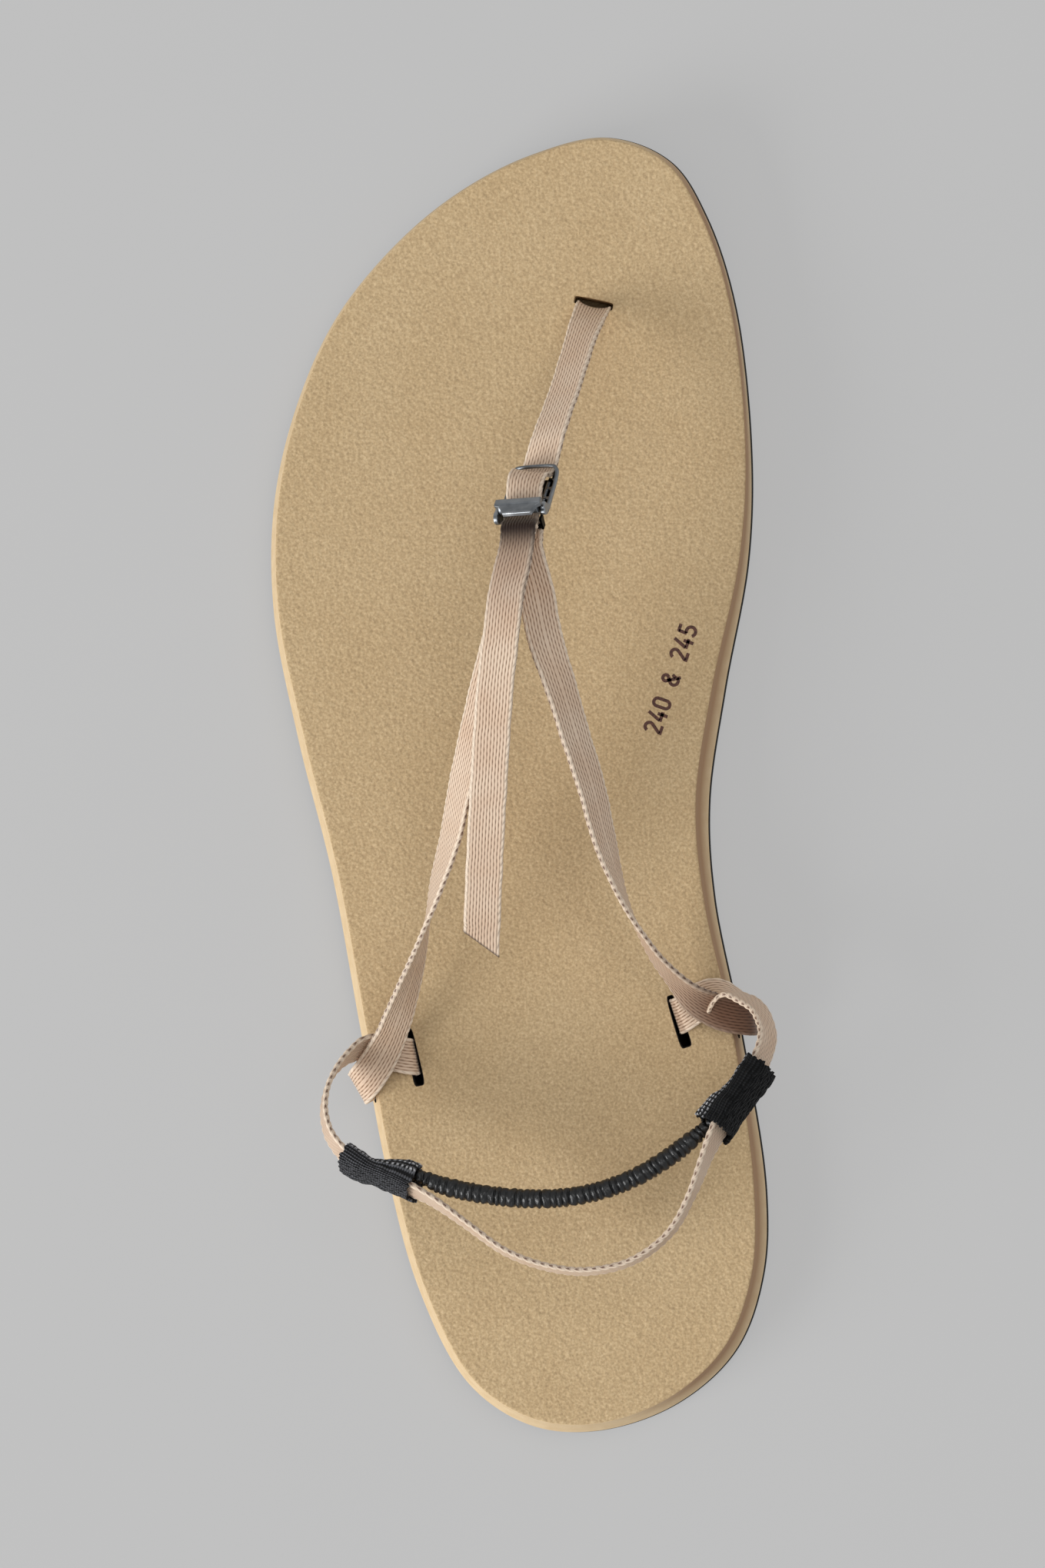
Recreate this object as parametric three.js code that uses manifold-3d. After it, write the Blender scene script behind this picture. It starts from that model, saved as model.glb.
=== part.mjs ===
// Barefoot sandal, left foot: a thin flared sole held on by one toe tape and one hitched tape.
// Millimetres, +Z up, +Y towards the toes, +X towards the big toe side.
// The origin is on the outsole's flat underside, at the middle of the waist.

import * as THREE from "three";
import { mergeVertices } from "three/addons/utils/BufferGeometryUtils.js";
import Module from "manifold-3d";

const wasm = await Module();
wasm.setup();

// Driving dimensions

const GAP = 0.3;
const SOLE_THICKNESS = 12;
const OUTSOLE_THICKNESS = 1.6;
const OUTSOLE_PROUD = 0.35;
const SPRING_START = 78;
const SPRING_END = 130;
const TOE_SPRING = 4;
const OUTLINE_STEPS = 108;

const TAPE = { width: 7.3, thickness: 0.95, corner: 0.3 };
const SEWN_TAPE = { width: 6.9, thickness: 1.1, corner: 0.35 };
const TAPE_STEPS = 3;
const TAIL_CUT = 0.8;

const SLOT = { wide: 2.1, floor: 3.2 };
const POCKET = { wide: 3.8, tall: 2.7 };
const CHANNEL = { wide: 8.8, tall: 2.3, middle: 4.4 };

const TAB = { width: 9.6, thickness: 3.4, corner: 1.1, inward: 0.55, clearance: 0.4 };
const ELASTIC_RADIUS = 1.75;
const ELASTIC_SIDES = 12;

const BUCKLE = {
  middle: [2.86, 57.9, 46.5],
  yaw: -19,
  pitch: -42,
  roll: -31,
  halfWidth: 5.2,
  plate: 0.8,
};
const FRONT_BAR = { ahead: 7, up: 0.2, radius: 0.5, cornerIn: 1.1, cornerBack: 1.3 };
const REAR_BAR = { ahead: -6, up: -4, radius: 0.55 };
const REAR_FOOT = { from: 3.15, to: 3.7 };
const EAR = { up: -0.2, thick: 0.85, proud: 0.05 };
const EARS = [
  { sign: -1, ahead: -7.1, radius: 1.3 },
  { sign: 1, ahead: -5.9, radius: 0.7 },
];
const INNER_RAIL = { side: 3, up: -1.93, radius: 0.35, front: 5.05, rear: -3.6 };
const STRUTS = { ahead: [4.6, 2.1, -0.8, -3.2], sweepBack: 1, up: -0.9 };
const CAM = { ahead: -5.8, up: 1, radius: 1.3 };

// Behind its front bar the buckle leans to the right, by a share of the distance back.
const LEAN = { start: 4, end: -8, share: 0.06 };

const LEVER_PLATE = { thick: 0.95, underside: 1.45, bevel: 0.18 };

// Side plates of the buckle seen from the side, the foot that holds the rear bar on the right, and
// the lever's outline from above, all in the buckle's own frame.
const SIDE_PLATE = [
  { ahead: -2, up: 0.6 },
  { ahead: 5, up: 0.6 },
  { ahead: 7.3, up: 0.7 },
  { ahead: 6.9, up: -0.4 },
  { ahead: 3, up: -1.3 },
  { ahead: -3, up: -1.9 },
];
const LEFT_CHEEK = [
  { ahead: -4.7, up: -3.2 },
  { ahead: -5.2, up: -4.6 },
  { ahead: -6.8, up: -4.6 },
  { ahead: -7.5, up: -3.4 },
  { ahead: -8, up: -0.6 },
  { ahead: -7, up: 1.1 },
  { ahead: -3.6, up: 1.1 },
];
const RIGHT_CHEEK = [
  { ahead: -4.7, up: -1.7 },
  { ahead: -5.6, up: -1.5 },
  { ahead: -6.2, up: -0.8 },
  { ahead: -5.8, up: 1.1 },
  { ahead: -3.6, up: 1.1 },
];
const RIGHT_FOOT = [
  { ahead: -3, up: -1.95 },
  { ahead: -4.4, up: -2.6 },
  { ahead: -5.2, up: -4.6 },
  { ahead: -6.8, up: -4.6 },
  { ahead: -6.8, up: -3.4 },
  { ahead: -6.3, up: -1.95 },
];
const LEVER_OUTLINE = [
  { side: -4.9, ahead: -4.6 },
  { side: -4.9, ahead: -6.3 },
  { side: -3.6, ahead: -6.8 },
  { side: -2.5, ahead: -8.9 },
  { side: 3.6, ahead: -8.9 },
  { side: 4.1, ahead: -6.8 },
  { side: 4.9, ahead: -6.3 },
  { side: 4.9, ahead: -4.6 },
];

// Sole outline from the toe tip down the little toe side and back: the footbed's edge, and how far
// the sidewall flares outside it at its foot.
const OUTLINE = [
  { x: 17.5, y: 130, flare: 1.2 },
  { x: 3, y: 126.9, flare: 1.2 },
  { x: -11.1, y: 120, flare: 1.2 },
  { x: -23.8, y: 110, flare: 1.2 },
  { x: -36.4, y: 95, flare: 1.2 },
  { x: -44.2, y: 78, flare: 1.3 },
  { x: -48.8, y: 58, flare: 1.5 },
  { x: -48.9, y: 36, flare: 1.6 },
  { x: -43.7, y: 10, flare: 1.8 },
  { x: -36.9, y: -17, flare: 1.8 },
  { x: -31.2, y: -48, flare: 1.8 },
  { x: -25.6, y: -78, flare: 1.8 },
  { x: -18.9, y: -102, flare: 1.9 },
  { x: -9.1, y: -120, flare: 2.1 },
  { x: 2.5, y: -127.4, flare: 2.4 },
  { x: 15, y: -128.5, flare: 2.3 },
  { x: 30, y: -123.3, flare: 2.4 },
  { x: 41.3, y: -113, flare: 2.5 },
  { x: 46.7, y: -99, flare: 2.2 },
  { x: 47.4, y: -82, flare: 2.1 },
  { x: 43.2, y: -50, flare: 1.3 },
  { x: 37.2, y: -22.5, flare: 1.8 },
  { x: 35.6, y: -3, flare: 2.4 },
  { x: 38.9, y: 20, flare: 2.3 },
  { x: 44.4, y: 46, flare: 1.5 },
  { x: 45.6, y: 68, flare: 0.9 },
  { x: 42.5, y: 97, flare: 0.8 },
  { x: 36.6, y: 115, flare: 0.9 },
  { x: 29.5, y: 125.5, flare: 1.1 },
];

// Sidewall from the footbed's edge down: share of the height, and share of the flare.
const SIDEWALL = [
  { down: 0, out: 0 },
  { down: 0.35, out: 0.2 },
  { down: 0.7, out: 0.5 },
  { down: 1, out: 1 },
];

// Slots cut through the footbed for the tapes: middle, length and bearing of the length.
const SLOTS = [
  { x: 15, y: 96.9, length: 9.6, bearing: -12 },
  { x: -21.3, y: -54.6, length: 11.6, bearing: -78.5 },
  { x: 32, y: -47.3, length: 10.8, bearing: -71.4 },
];

// Channels from each side slot out through the sidewall: the two ends of the middle line. A pocket
// at the slot's foot gives the tape room to turn up.
const CHANNELS = [
  { from: [-21.6, -54.8], to: [-34, -61.6] },
  { from: [32, -46.4], to: [48, -46.6] },
];

// Tape tables: the middle of the tape, and the bearing and lift of its width in degrees.
// Rows inside the buckle are given in the buckle's own frame: back, side and up, and the roll of
// the width about the buckle's length.

const TOE_RISE = [
  { x: 15, y: 97, z: 3.7, bearing: -12, lift: 0 },
  { x: 15, y: 97, z: 8, bearing: -12, lift: 0 },
  { x: 14.9, y: 96.7, z: 12.8, bearing: -11, lift: 4 },
  { x: 14, y: 93.8, z: 17.4, bearing: -3, lift: 15 },
  { x: 12.7, y: 89.4, z: 22.3, bearing: 4, lift: 27 },
  { x: 9.9, y: 78.9, z: 31.7, bearing: 5, lift: 30 },
  { x: 6.9, y: 69.2, z: 39, bearing: 4, lift: 26 },
];

const TOE_IN_BUCKLE = [
  { back: -8.6, side: 0, up: -1.15 },
  { back: -7, side: 0, up: -1.12 },
  { back: -5.6, side: 0, up: -0.75, roll: 2 },
  { back: -4.8, side: -0.1, up: 0.3, roll: 10 },
  { back: -3.7, side: -0.15, up: 1.3, roll: 17 },
  { back: -1.6, side: -0.05, up: 1.55, roll: 16 },
  { back: 1, side: 0.15, up: 0.85, roll: 8 },
  { back: 3, side: 0.3, up: -0.25, roll: 2 },
  { back: 5, side: 0.45, up: -1.05 },
  { back: 6.2, side: 0.5, up: -1.12 },
  { back: 7.6, side: 0.6, up: -0.95 },
  { back: 9.2, side: 0.8, up: -0.6 },
];

const TAIL = [
  { x: 1.35, y: 47.6, z: 54.1, bearing: 2, lift: 21 },
  { x: 0.5, y: 43.3, z: 55.1, bearing: 0, lift: 20 },
  { x: -0.6, y: 38.6, z: 55.3, bearing: -4, lift: 18 },
  { x: -1.8, y: 29, z: 55, bearing: -7, lift: 12 },
  { x: -2.95, y: 19.4, z: 53.7, bearing: -6, lift: 6 },
  { x: -4.5, y: 0, z: 48.3, bearing: -4, lift: 0 },
  { x: -5.9, y: -19.6, z: 39.9, bearing: -5, lift: -6 },
  { x: -6.6, y: -31.2, z: 34.3, bearing: -5, lift: -10 },
];

const REAR_LOOP = [
  { back: 8.8, side: 0.2, up: -2.4 },
  { back: 7.4, side: 0.1, up: -2.55 },
  { back: 6, side: 0, up: -2.6 },
  { back: 5, side: 0, up: -3 },
  { back: 4.6, side: 0, up: -4 },
  { back: 5, side: 0, up: -5 },
  { back: 6, side: 0, up: -5.4 },
  { back: 7.4, side: 0.2, up: -5.6 },
  { back: 8.8, side: 0.35, up: -5.85 },
];

const LATERAL_START = [
  { back: 7.7, side: 0.12, up: -2.52 },
  { back: 9.4, side: 0.25, up: -2.35 },
];

const LATERAL_LEG = [
  { x: 1, y: 45.4, z: 52.6, bearing: 3, lift: 23 },
  { x: -0.3, y: 38.8, z: 53.1, bearing: 0, lift: 24 },
  { x: -2.3, y: 29, z: 52, bearing: -6, lift: 28 },
  { x: -5.1, y: 19.4, z: 49.6, bearing: -9, lift: 36 },
  { x: -10.2, y: 0, z: 43.4, bearing: -12, lift: 50 },
  { x: -12.4, y: -9.8, z: 39.6, bearing: -13, lift: 57 },
  { x: -15.5, y: -19.6, z: 35.2, bearing: -15, lift: 70 },
  { x: -17.8, y: -27.1, z: 31.2, bearing: -17, lift: 88 },
  { x: -20, y: -34.6, z: 26.9, bearing: -19, lift: 107 },
  { x: -23.4, y: -44.4, z: 21.3, bearing: -24, lift: 129 },
  { x: -25.5, y: -49.8, z: 18.4, bearing: -30, lift: 140 },
  { x: -28.2, y: -55, z: 15.9, bearing: -42, lift: 157 },
];

const LATERAL_WRAP = [
  { x: -30.5, y: -58.5, z: 13.8, bearing: -56, lift: 174 },
  { x: -32, y: -60.3, z: 12.3, bearing: -60, lift: 180 },
  { x: -32.6, y: -60.9, z: 10, bearing: -60, lift: 180 },
  { x: -32.7, y: -61, z: 7.2, bearing: -60, lift: 180 },
  { x: -32.1, y: -60.7, z: 5.2, bearing: -60, lift: 180 },
  { x: -30.4, y: -59.8, z: 4.4, bearing: -61, lift: 180 },
  { x: -23.2, y: -55.8, z: 4.4, bearing: -73, lift: 180 },
  { x: -21.75, y: -54.9, z: 4.75, bearing: -77, lift: 180 },
  { x: -21.3, y: -54.6, z: 5.9, bearing: -78.5, lift: 180 },
  { x: -21.3, y: -54.6, z: 8, bearing: -78.5, lift: 180 },
  { x: -21.3, y: -54.6, z: 11.4, bearing: -78.5, lift: 180 },
  { x: -22.2, y: -54.4, z: 13.1, bearing: -79, lift: 178 },
];

const LATERAL_HEEL = [
  { x: -25, y: -53.8, z: 13.6, bearing: -79, lift: 172 },
  { x: -28.3, y: -52.9, z: 14.4, bearing: -74, lift: 150 },
  { x: -31.4, y: -52.6, z: 16.1, bearing: -62, lift: 122 },
  { x: -34.4, y: -54.3, z: 18.2, bearing: -40, lift: 100 },
  { x: -36.9, y: -57.4, z: 20.6, bearing: 0, lift: 89 },
  { x: -38.3, y: -61.4, z: 23.1, bearing: -5, lift: 85 },
  { x: -38.4, y: -65.6, z: 25.8, bearing: 5, lift: 80 },
  { x: -37, y: -69.7, z: 28.4, bearing: 28, lift: 74 },
];

const LATERAL_TAB = [
  { x: -33.6, y: -73.6, z: 30.8, bearing: 52, lift: 67 },
  { x: -29.4, y: -76, z: 32, bearing: 62, lift: 67 },
  { x: -25.2, y: -77.8, z: 33, bearing: 64, lift: 68 },
  { x: -20.8, y: -79.8, z: 33.6, bearing: 62, lift: 69 },
];

const HEEL_BACK = [
  { x: -16.4, y: -82.1, z: 33.5, bearing: 58, lift: 74 },
  { x: -9.9, y: -86.7, z: 32.6, bearing: 55, lift: 78 },
  { x: -1.8, y: -92.4, z: 31.7, bearing: 65, lift: 79 },
  { x: 6.5, y: -95.4, z: 31.3, bearing: 80, lift: 79 },
  { x: 14.5, y: -96.2, z: 31.3, bearing: 95, lift: 79 },
  { x: 23.4, y: -94, z: 31.6, bearing: 118, lift: 80 },
  { x: 30.7, y: -88.4, z: 32.2, bearing: 142, lift: 81 },
  { x: 35, y: -80.8, z: 32.9, bearing: 157, lift: 80 },
  { x: 38, y: -73.1, z: 33.5, bearing: 156, lift: 73 },
];

const MEDIAL_TAB = [
  { x: 40.5, y: -67.6, z: 33.5, bearing: 145, lift: 63 },
  { x: 42.9, y: -63.6, z: 32.7, bearing: 142, lift: 60 },
  { x: 45.6, y: -59.3, z: 31.6, bearing: 142, lift: 60 },
  { x: 48.2, y: -55.2, z: 30.2, bearing: 149, lift: 61 },
];

const MEDIAL_HEEL = [
  { x: 49.6, y: -51.6, z: 28, bearing: 172, lift: 67 },
  { x: 49.8, y: -48.4, z: 25.6, bearing: 190, lift: 70 },
  { x: 48.4, y: -44.9, z: 23, bearing: 210, lift: 73 },
  { x: 45.9, y: -42.7, z: 20.7, bearing: 238, lift: 76 },
  { x: 43.1, y: -41.6, z: 18.5, bearing: 280, lift: 84 },
  { x: 40.2, y: -41.4, z: 16.5, bearing: 292, lift: 60 },
  { x: 37.3, y: -42.3, z: 14.7, bearing: 295, lift: 30 },
  { x: 34.9, y: -44.2, z: 13.7, bearing: 292, lift: 8 },
];

const MEDIAL_WRAP = [
  { x: 32.6, y: -45.9, z: 13, bearing: 289, lift: 2 },
  { x: 31.7, y: -46.3, z: 11.4, bearing: 288.6, lift: 0 },
  { x: 31.7, y: -46.3, z: 8, bearing: 288.6, lift: 0 },
  { x: 31.7, y: -46.3, z: 5.9, bearing: 288, lift: 0 },
  { x: 32.1, y: -46.35, z: 4.75, bearing: 287, lift: 0 },
  { x: 33.5, y: -46.4, z: 4.4, bearing: 285, lift: 0 },
  { x: 44.5, y: -46.5, z: 4.4, bearing: 279, lift: 0 },
  { x: 46.3, y: -46.5, z: 5.2, bearing: 278, lift: 0 },
  { x: 47.1, y: -46.5, z: 7.2, bearing: 277, lift: 0 },
  { x: 47.2, y: -46.5, z: 10.2, bearing: 276, lift: 0 },
  { x: 46.4, y: -46.4, z: 12.6, bearing: 273, lift: 0 },
  { x: 44.2, y: -46.2, z: 13.8, bearing: 261, lift: 0 },
];

const MEDIAL_LEG = [
  { x: 40.6, y: -45.3, z: 15.1, bearing: 248, lift: -12 },
  { x: 36.5, y: -43.3, z: 17.2, bearing: 235, lift: -32 },
  { x: 32.7, y: -39.8, z: 19.6, bearing: 225, lift: -60 },
  { x: 28.3, y: -34.7, z: 22.3, bearing: 218, lift: -74 },
  { x: 25.2, y: -29.7, z: 25, bearing: 212, lift: -83 },
  { x: 22.6, y: -24.7, z: 27.8, bearing: 26, lift: -88 },
  { x: 20.6, y: -19.6, z: 30.6, bearing: 22, lift: -78 },
  { x: 17.7, y: -9.8, z: 35.8, bearing: 19, lift: -57 },
  { x: 15.4, y: 0, z: 40.5, bearing: 17, lift: -48 },
  { x: 12.5, y: 9.7, z: 44.6, bearing: 18, lift: -43 },
  { x: 9.7, y: 19.4, z: 47.7, bearing: 18, lift: -36 },
  { x: 6.7, y: 29, z: 49.8, bearing: 14, lift: -22 },
  { x: 4.7, y: 38.8, z: 50.4, bearing: 9, lift: -6 },
  { x: 3.4, y: 43.6, z: 50, bearing: 5, lift: 10 },
];

const MEDIAL_END = [
  { back: 9.4, side: 0.4, up: -5.9 },
  { back: 7.7, side: 0.22, up: -5.64 },
];

// The gathered elastic tube: its middle, and its size as a share of full size.
const ELASTIC = [
  { x: -19.2, y: -76.9, z: 35, size: 0.66 },
  { x: -17.6, y: -77.6, z: 35.4, size: 0.75 },
  { x: -14.6, y: -78.8, z: 35.9, size: 0.95 },
  { x: -10.6, y: -79.8, z: 36.5, size: 1 },
  { x: -3.7, y: -80.9, z: 37.2, size: 1 },
  { x: 3.3, y: -81.4, z: 37.5, size: 1 },
  { x: 10.3, y: -81.1, z: 37.5, size: 1 },
  { x: 17.3, y: -79.7, z: 37.2, size: 1 },
  { x: 24.3, y: -77, z: 36.7, size: 1 },
  { x: 30.8, y: -73.1, z: 35.8, size: 1 },
  { x: 34.6, y: -70.2, z: 35.1, size: 0.95 },
  { x: 36.9, y: -68.2, z: 34.5, size: 0.75 },
  { x: 38.2, y: -66.9, z: 34.2, size: 0.66 },
];

// Materials

const footbedTan = new THREE.MeshStandardMaterial({ color: 0xb8a078, roughness: 0.85 });
const rubberBlack = new THREE.MeshStandardMaterial({ color: 0x1c1a19, roughness: 0.8 });
const tapeBeige = new THREE.MeshStandardMaterial({ color: 0xc8a88a, roughness: 0.8 });
const gunmetal = new THREE.MeshStandardMaterial({ color: 0x55585a, roughness: 0.4, metalness: 0.9 });
const wovenBlack = new THREE.MeshStandardMaterial({ color: 0x1b1b1d, roughness: 0.75 });
const elasticBlack = new THREE.MeshStandardMaterial({ color: 0x202225, roughness: 0.6 });

// Small helpers

const radians = THREE.MathUtils.degToRad;

function toSolid(geometry) {
  const bare = geometry.clone();
  bare.deleteAttribute("normal");
  bare.deleteAttribute("uv");
  const merged = mergeVertices(bare, 1e-4);
  return new wasm.Manifold(
    new wasm.Mesh({
      numProp: 3,
      vertProperties: merged.attributes.position.array,
      triVerts: new Uint32Array(merged.index.array),
    }),
  );
}

function fromSolid(solid) {
  const mesh = solid.getMesh();
  const geometry = new THREE.BufferGeometry();
  geometry.setAttribute("position", new THREE.BufferAttribute(mesh.vertProperties, 3));
  geometry.setIndex(new THREE.BufferAttribute(mesh.triVerts, 1));
  geometry.computeVertexNormals();
  return geometry;
}

function joined(geometries) {
  const solids = geometries.map(toSolid);
  return solids.reduce((whole, piece) => whole.add(piece));
}

// Six times the signed volume inside a closed triangle list.
function signedVolume(points, index) {
  let total = 0;
  for (let i = 0; i < index.length; i += 3) {
    const [a, b, c] = [points[index[i]], points[index[i + 1]], points[index[i + 2]]];
    total += a.dot(new THREE.Vector3().crossVectors(b, c));
  }
  return total;
}

// A closed skin over rings of equal count, with each end closed by rungs from side to side.
function loft(rings) {
  const count = rings[0].length;
  const last = (rings.length - 1) * count;
  const points = rings.flat();
  const index = [];
  for (let r = 0; r + 1 < rings.length; r++) {
    for (let i = 0; i < count; i++) {
      const a = r * count + i;
      const b = r * count + ((i + 1) % count);
      index.push(a, b, b + count, a, b + count, a + count);
    }
  }
  for (let i = 0; i + 1 < count / 2; i++) {
    const j = count - 1 - i;
    index.push(i, j, j - 1, i, j - 1, i + 1);
    index.push(last + i, last + j - 1, last + j, last + i, last + i + 1, last + j - 1);
  }
  if (signedVolume(points, index) < 0) index.reverse();
  const geometry = new THREE.BufferGeometry();
  const flat = points.flatMap((p) => [p.x, p.y, p.z]);
  geometry.setAttribute("position", new THREE.Float32BufferAttribute(flat, 3));
  geometry.setIndex(index);
  geometry.computeVertexNormals();
  return geometry;
}

// Rounded rectangle as (across, through) pairs, with each corner cut once.
function tapeSection({ width, thickness, corner }, grow = 0) {
  const w = width / 2 + grow;
  const t = thickness / 2 + grow;
  const c = corner;
  return [
    [w, t - c],
    [w - c, t],
    [c - w, t],
    [-w, t - c],
    [-w, c - t],
    [c - w, -t],
    [w - c, -t],
    [w, c - t],
  ];
}

function roundSection(radius, sides) {
  return Array.from({ length: sides }, (_, i) => {
    const angle = ((i + 0.5) / sides) * Math.PI * 2;
    return [Math.cos(angle) * radius, Math.sin(angle) * radius];
  });
}

// A unit direction from its bearing, anticlockwise from +X, and its lift above level.
function direction(bearing, lift) {
  const level = Math.cos(radians(lift));
  const b = radians(bearing);
  return new THREE.Vector3(Math.cos(b) * level, Math.sin(b) * level, Math.sin(radians(lift)));
}

const buckleTurn = new THREE.Euler(
  radians(BUCKLE.pitch),
  radians(BUCKLE.roll),
  radians(BUCKLE.yaw),
  "ZXY",
);
const buckleMiddle = new THREE.Vector3(...BUCKLE.middle);
const BUCKLE_AHEAD = new THREE.Vector3(0, 1, 0);

function tapeRow({ x, y, z, bearing, lift }) {
  return { middle: new THREE.Vector3(x, y, z), across: direction(bearing, lift) };
}

function buckleRow({ back, side, up, roll = 0 }) {
  const middle = new THREE.Vector3(side, -back, up).applyEuler(buckleTurn).add(buckleMiddle);
  const across = new THREE.Vector3(1, 0, 0).applyAxisAngle(BUCKLE_AHEAD, radians(roll));
  return { middle, across: across.applyEuler(buckleTurn) };
}

// Sweeps a section along rows of { middle, across, size }. A width has no sense of its own, so each
// row takes the one nearer to the row before. The last ring may be cut on the slant.
function sweep(rows, section, { steps = TAPE_STEPS, slant = 0 } = {}) {
  const across = [];
  for (const { across: wanted } of rows) {
    const turned = across.length > 0 && wanted.dot(across.at(-1)) < 0;
    across.push(wanted.clone().multiplyScalar(turned ? -1 : 1));
  }
  const path = new THREE.CatmullRomCurve3(rows.map((row) => row.middle));
  const width = new THREE.CatmullRomCurve3(across, false, "catmullrom");
  const sizes = rows.map((row) => new THREE.Vector3(row.size ?? 1, 0, 0));
  const size = new THREE.CatmullRomCurve3(sizes, false, "catmullrom");
  const count = (rows.length - 1) * steps;
  const rings = [];
  for (let k = 0; k <= count; k++) {
    const t = k / count;
    const forward = path.getTangent(t);
    const wide = width.getPoint(t);
    wide.addScaledVector(forward, -wide.dot(forward)).normalize();
    const through = new THREE.Vector3().crossVectors(forward, wide);
    const scale = size.getPoint(t).x;
    const lean = k === count ? slant : 0;
    const middle = path.getPoint(t);
    rings.push(
      section.map(([a, n]) =>
        middle
          .clone()
          .addScaledVector(wide, a * scale)
          .addScaledVector(through, n * scale)
          .addScaledVector(forward, a * lean),
      ),
    );
  }
  return loft(rings);
}

// Sole

function springLift(y) {
  const share = Math.max(0, (y - SPRING_START) / (SPRING_END - SPRING_START));
  return TOE_SPRING * share * share;
}

// The outline pushed out by a share of the flare plus a fixed amount, at one height.
function soleRing(height, share, extra) {
  const rows = OUTLINE.map(({ x, y, flare }) => new THREE.Vector3(x, y, flare));
  const curve = new THREE.CatmullRomCurve3(rows, true);
  return Array.from({ length: OUTLINE_STEPS }, (_, i) => {
    const t = (i + 0.5) / OUTLINE_STEPS;
    const point = curve.getPoint(t);
    const forward = curve.getTangent(t).setZ(0).normalize();
    const out = point.z * share + extra;
    const x = point.x + forward.y * out;
    const y = point.y - forward.x * out;
    return new THREE.Vector3(x, y, height + springLift(y));
  });
}

// An upright stadium, its length along its bearing, from the slots' floor upwards.
function slotCutter({ x, y, length, bearing }, wide, tall) {
  const r = wide / 2;
  const half = length / 2 - r;
  const shape = new THREE.Shape();
  shape.absarc(half, 0, r, -Math.PI / 2, Math.PI / 2);
  shape.absarc(-half, 0, r, Math.PI / 2, (Math.PI * 3) / 2);
  const settings = { depth: tall, bevelEnabled: false, curveSegments: 6 };
  const geometry = new THREE.ExtrudeGeometry(shape, settings);
  geometry.rotateZ(radians(bearing));
  geometry.translate(x, y, SLOT.floor);
  return geometry;
}

function channelCutter({ from, to }) {
  const start = new THREE.Vector2(...from);
  const run = new THREE.Vector2(...to).sub(start);
  const geometry = new THREE.BoxGeometry(run.length(), CHANNEL.wide, CHANNEL.tall);
  geometry.translate(run.length() / 2, 0, 0);
  geometry.rotateZ(run.angle());
  geometry.translate(start.x, start.y, CHANNEL.middle);
  return geometry;
}

function midsole() {
  const foot = OUTSOLE_THICKNESS + GAP;
  const rings = SIDEWALL.map(({ down, out }) => {
    const height = SOLE_THICKNESS - (SOLE_THICKNESS - foot) * down;
    return soleRing(height, out, 0);
  });
  const cutters = [
    ...SLOTS.map((slot) => slotCutter(slot, SLOT.wide, SOLE_THICKNESS)),
    ...SLOTS.slice(1).map((slot) => slotCutter(slot, POCKET.wide, POCKET.tall)),
    ...CHANNELS.map(channelCutter),
  ];
  const whole = toSolid(loft(rings));
  return fromSolid(cutters.reduce((left, cutter) => left.subtract(toSolid(cutter)), whole));
}

function outsole() {
  const rings = [0, OUTSOLE_THICKNESS].map((height) => soleRing(height, 1, OUTSOLE_PROUD));
  return loft(rings);
}

// Tapes

function toeTape() {
  const rows = [
    ...TOE_RISE.map(tapeRow),
    ...TOE_IN_BUCKLE.map(buckleRow),
    ...TAIL.map(tapeRow),
  ];
  return sweep(rows, tapeSection(TAPE), { slant: TAIL_CUT });
}

function instepHeelTape() {
  const rows = [
    ...LATERAL_START.map(buckleRow),
    ...[LATERAL_LEG, LATERAL_WRAP, LATERAL_HEEL, LATERAL_TAB, HEEL_BACK].flat().map(tapeRow),
    ...[MEDIAL_TAB, MEDIAL_HEEL, MEDIAL_WRAP, MEDIAL_LEG].flat().map(tapeRow),
    ...MEDIAL_END.map(buckleRow),
  ];
  const run = sweep(rows, tapeSection(TAPE), { steps: 2 });
  const loop = sweep(REAR_LOOP.map(buckleRow), tapeSection(SEWN_TAPE), { steps: 2 });
  return fromSolid(joined([run, loop]));
}

// Heel tabs: a folded ribbon round the tape, with its thickness mostly on the foot's side.
function heelTab(before, tab, after) {
  const shifted = tab.map(tapeRow).map(({ middle, across }, i, all) => {
    const next = all[Math.min(i + 1, all.length - 1)].middle;
    const previous = all[Math.max(i - 1, 0)].middle;
    const forward = next.clone().sub(previous).normalize();
    const inward = new THREE.Vector3().crossVectors(forward, across).normalize();
    return { middle: middle.clone().addScaledVector(inward, TAB.inward), across };
  });
  const body = toSolid(sweep(shifted, tapeSection(TAB), { steps: 4 }));
  const through = [...before, ...tab, ...after].map(tapeRow);
  const bore = toSolid(sweep(through, tapeSection(TAPE, TAB.clearance), { steps: 4 }));
  return fromSolid(body.subtract(bore));
}

function heelElastic() {
  const rows = ELASTIC.map(({ x, y, z, size }) => ({
    middle: new THREE.Vector3(x, y, z),
    across: new THREE.Vector3(0, 0, 1),
    size,
  }));
  return sweep(rows, roundSection(ELASTIC_RADIUS, ELASTIC_SIDES));
}

// Buckle, in its own frame: +X across, +Y towards the toe, +Z up from its face

function bar(radius, from, to, sides = 10) {
  const start = new THREE.Vector3(...from);
  const run = new THREE.Vector3(...to).sub(start);
  const geometry = new THREE.CylinderGeometry(radius, radius, run.length(), sides);
  const upright = new THREE.Vector3(0, 1, 0);
  geometry.applyQuaternion(
    new THREE.Quaternion().setFromUnitVectors(upright, run.clone().normalize()),
  );
  geometry.translate(...start.addScaledVector(run, 0.5));
  return geometry;
}

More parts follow.
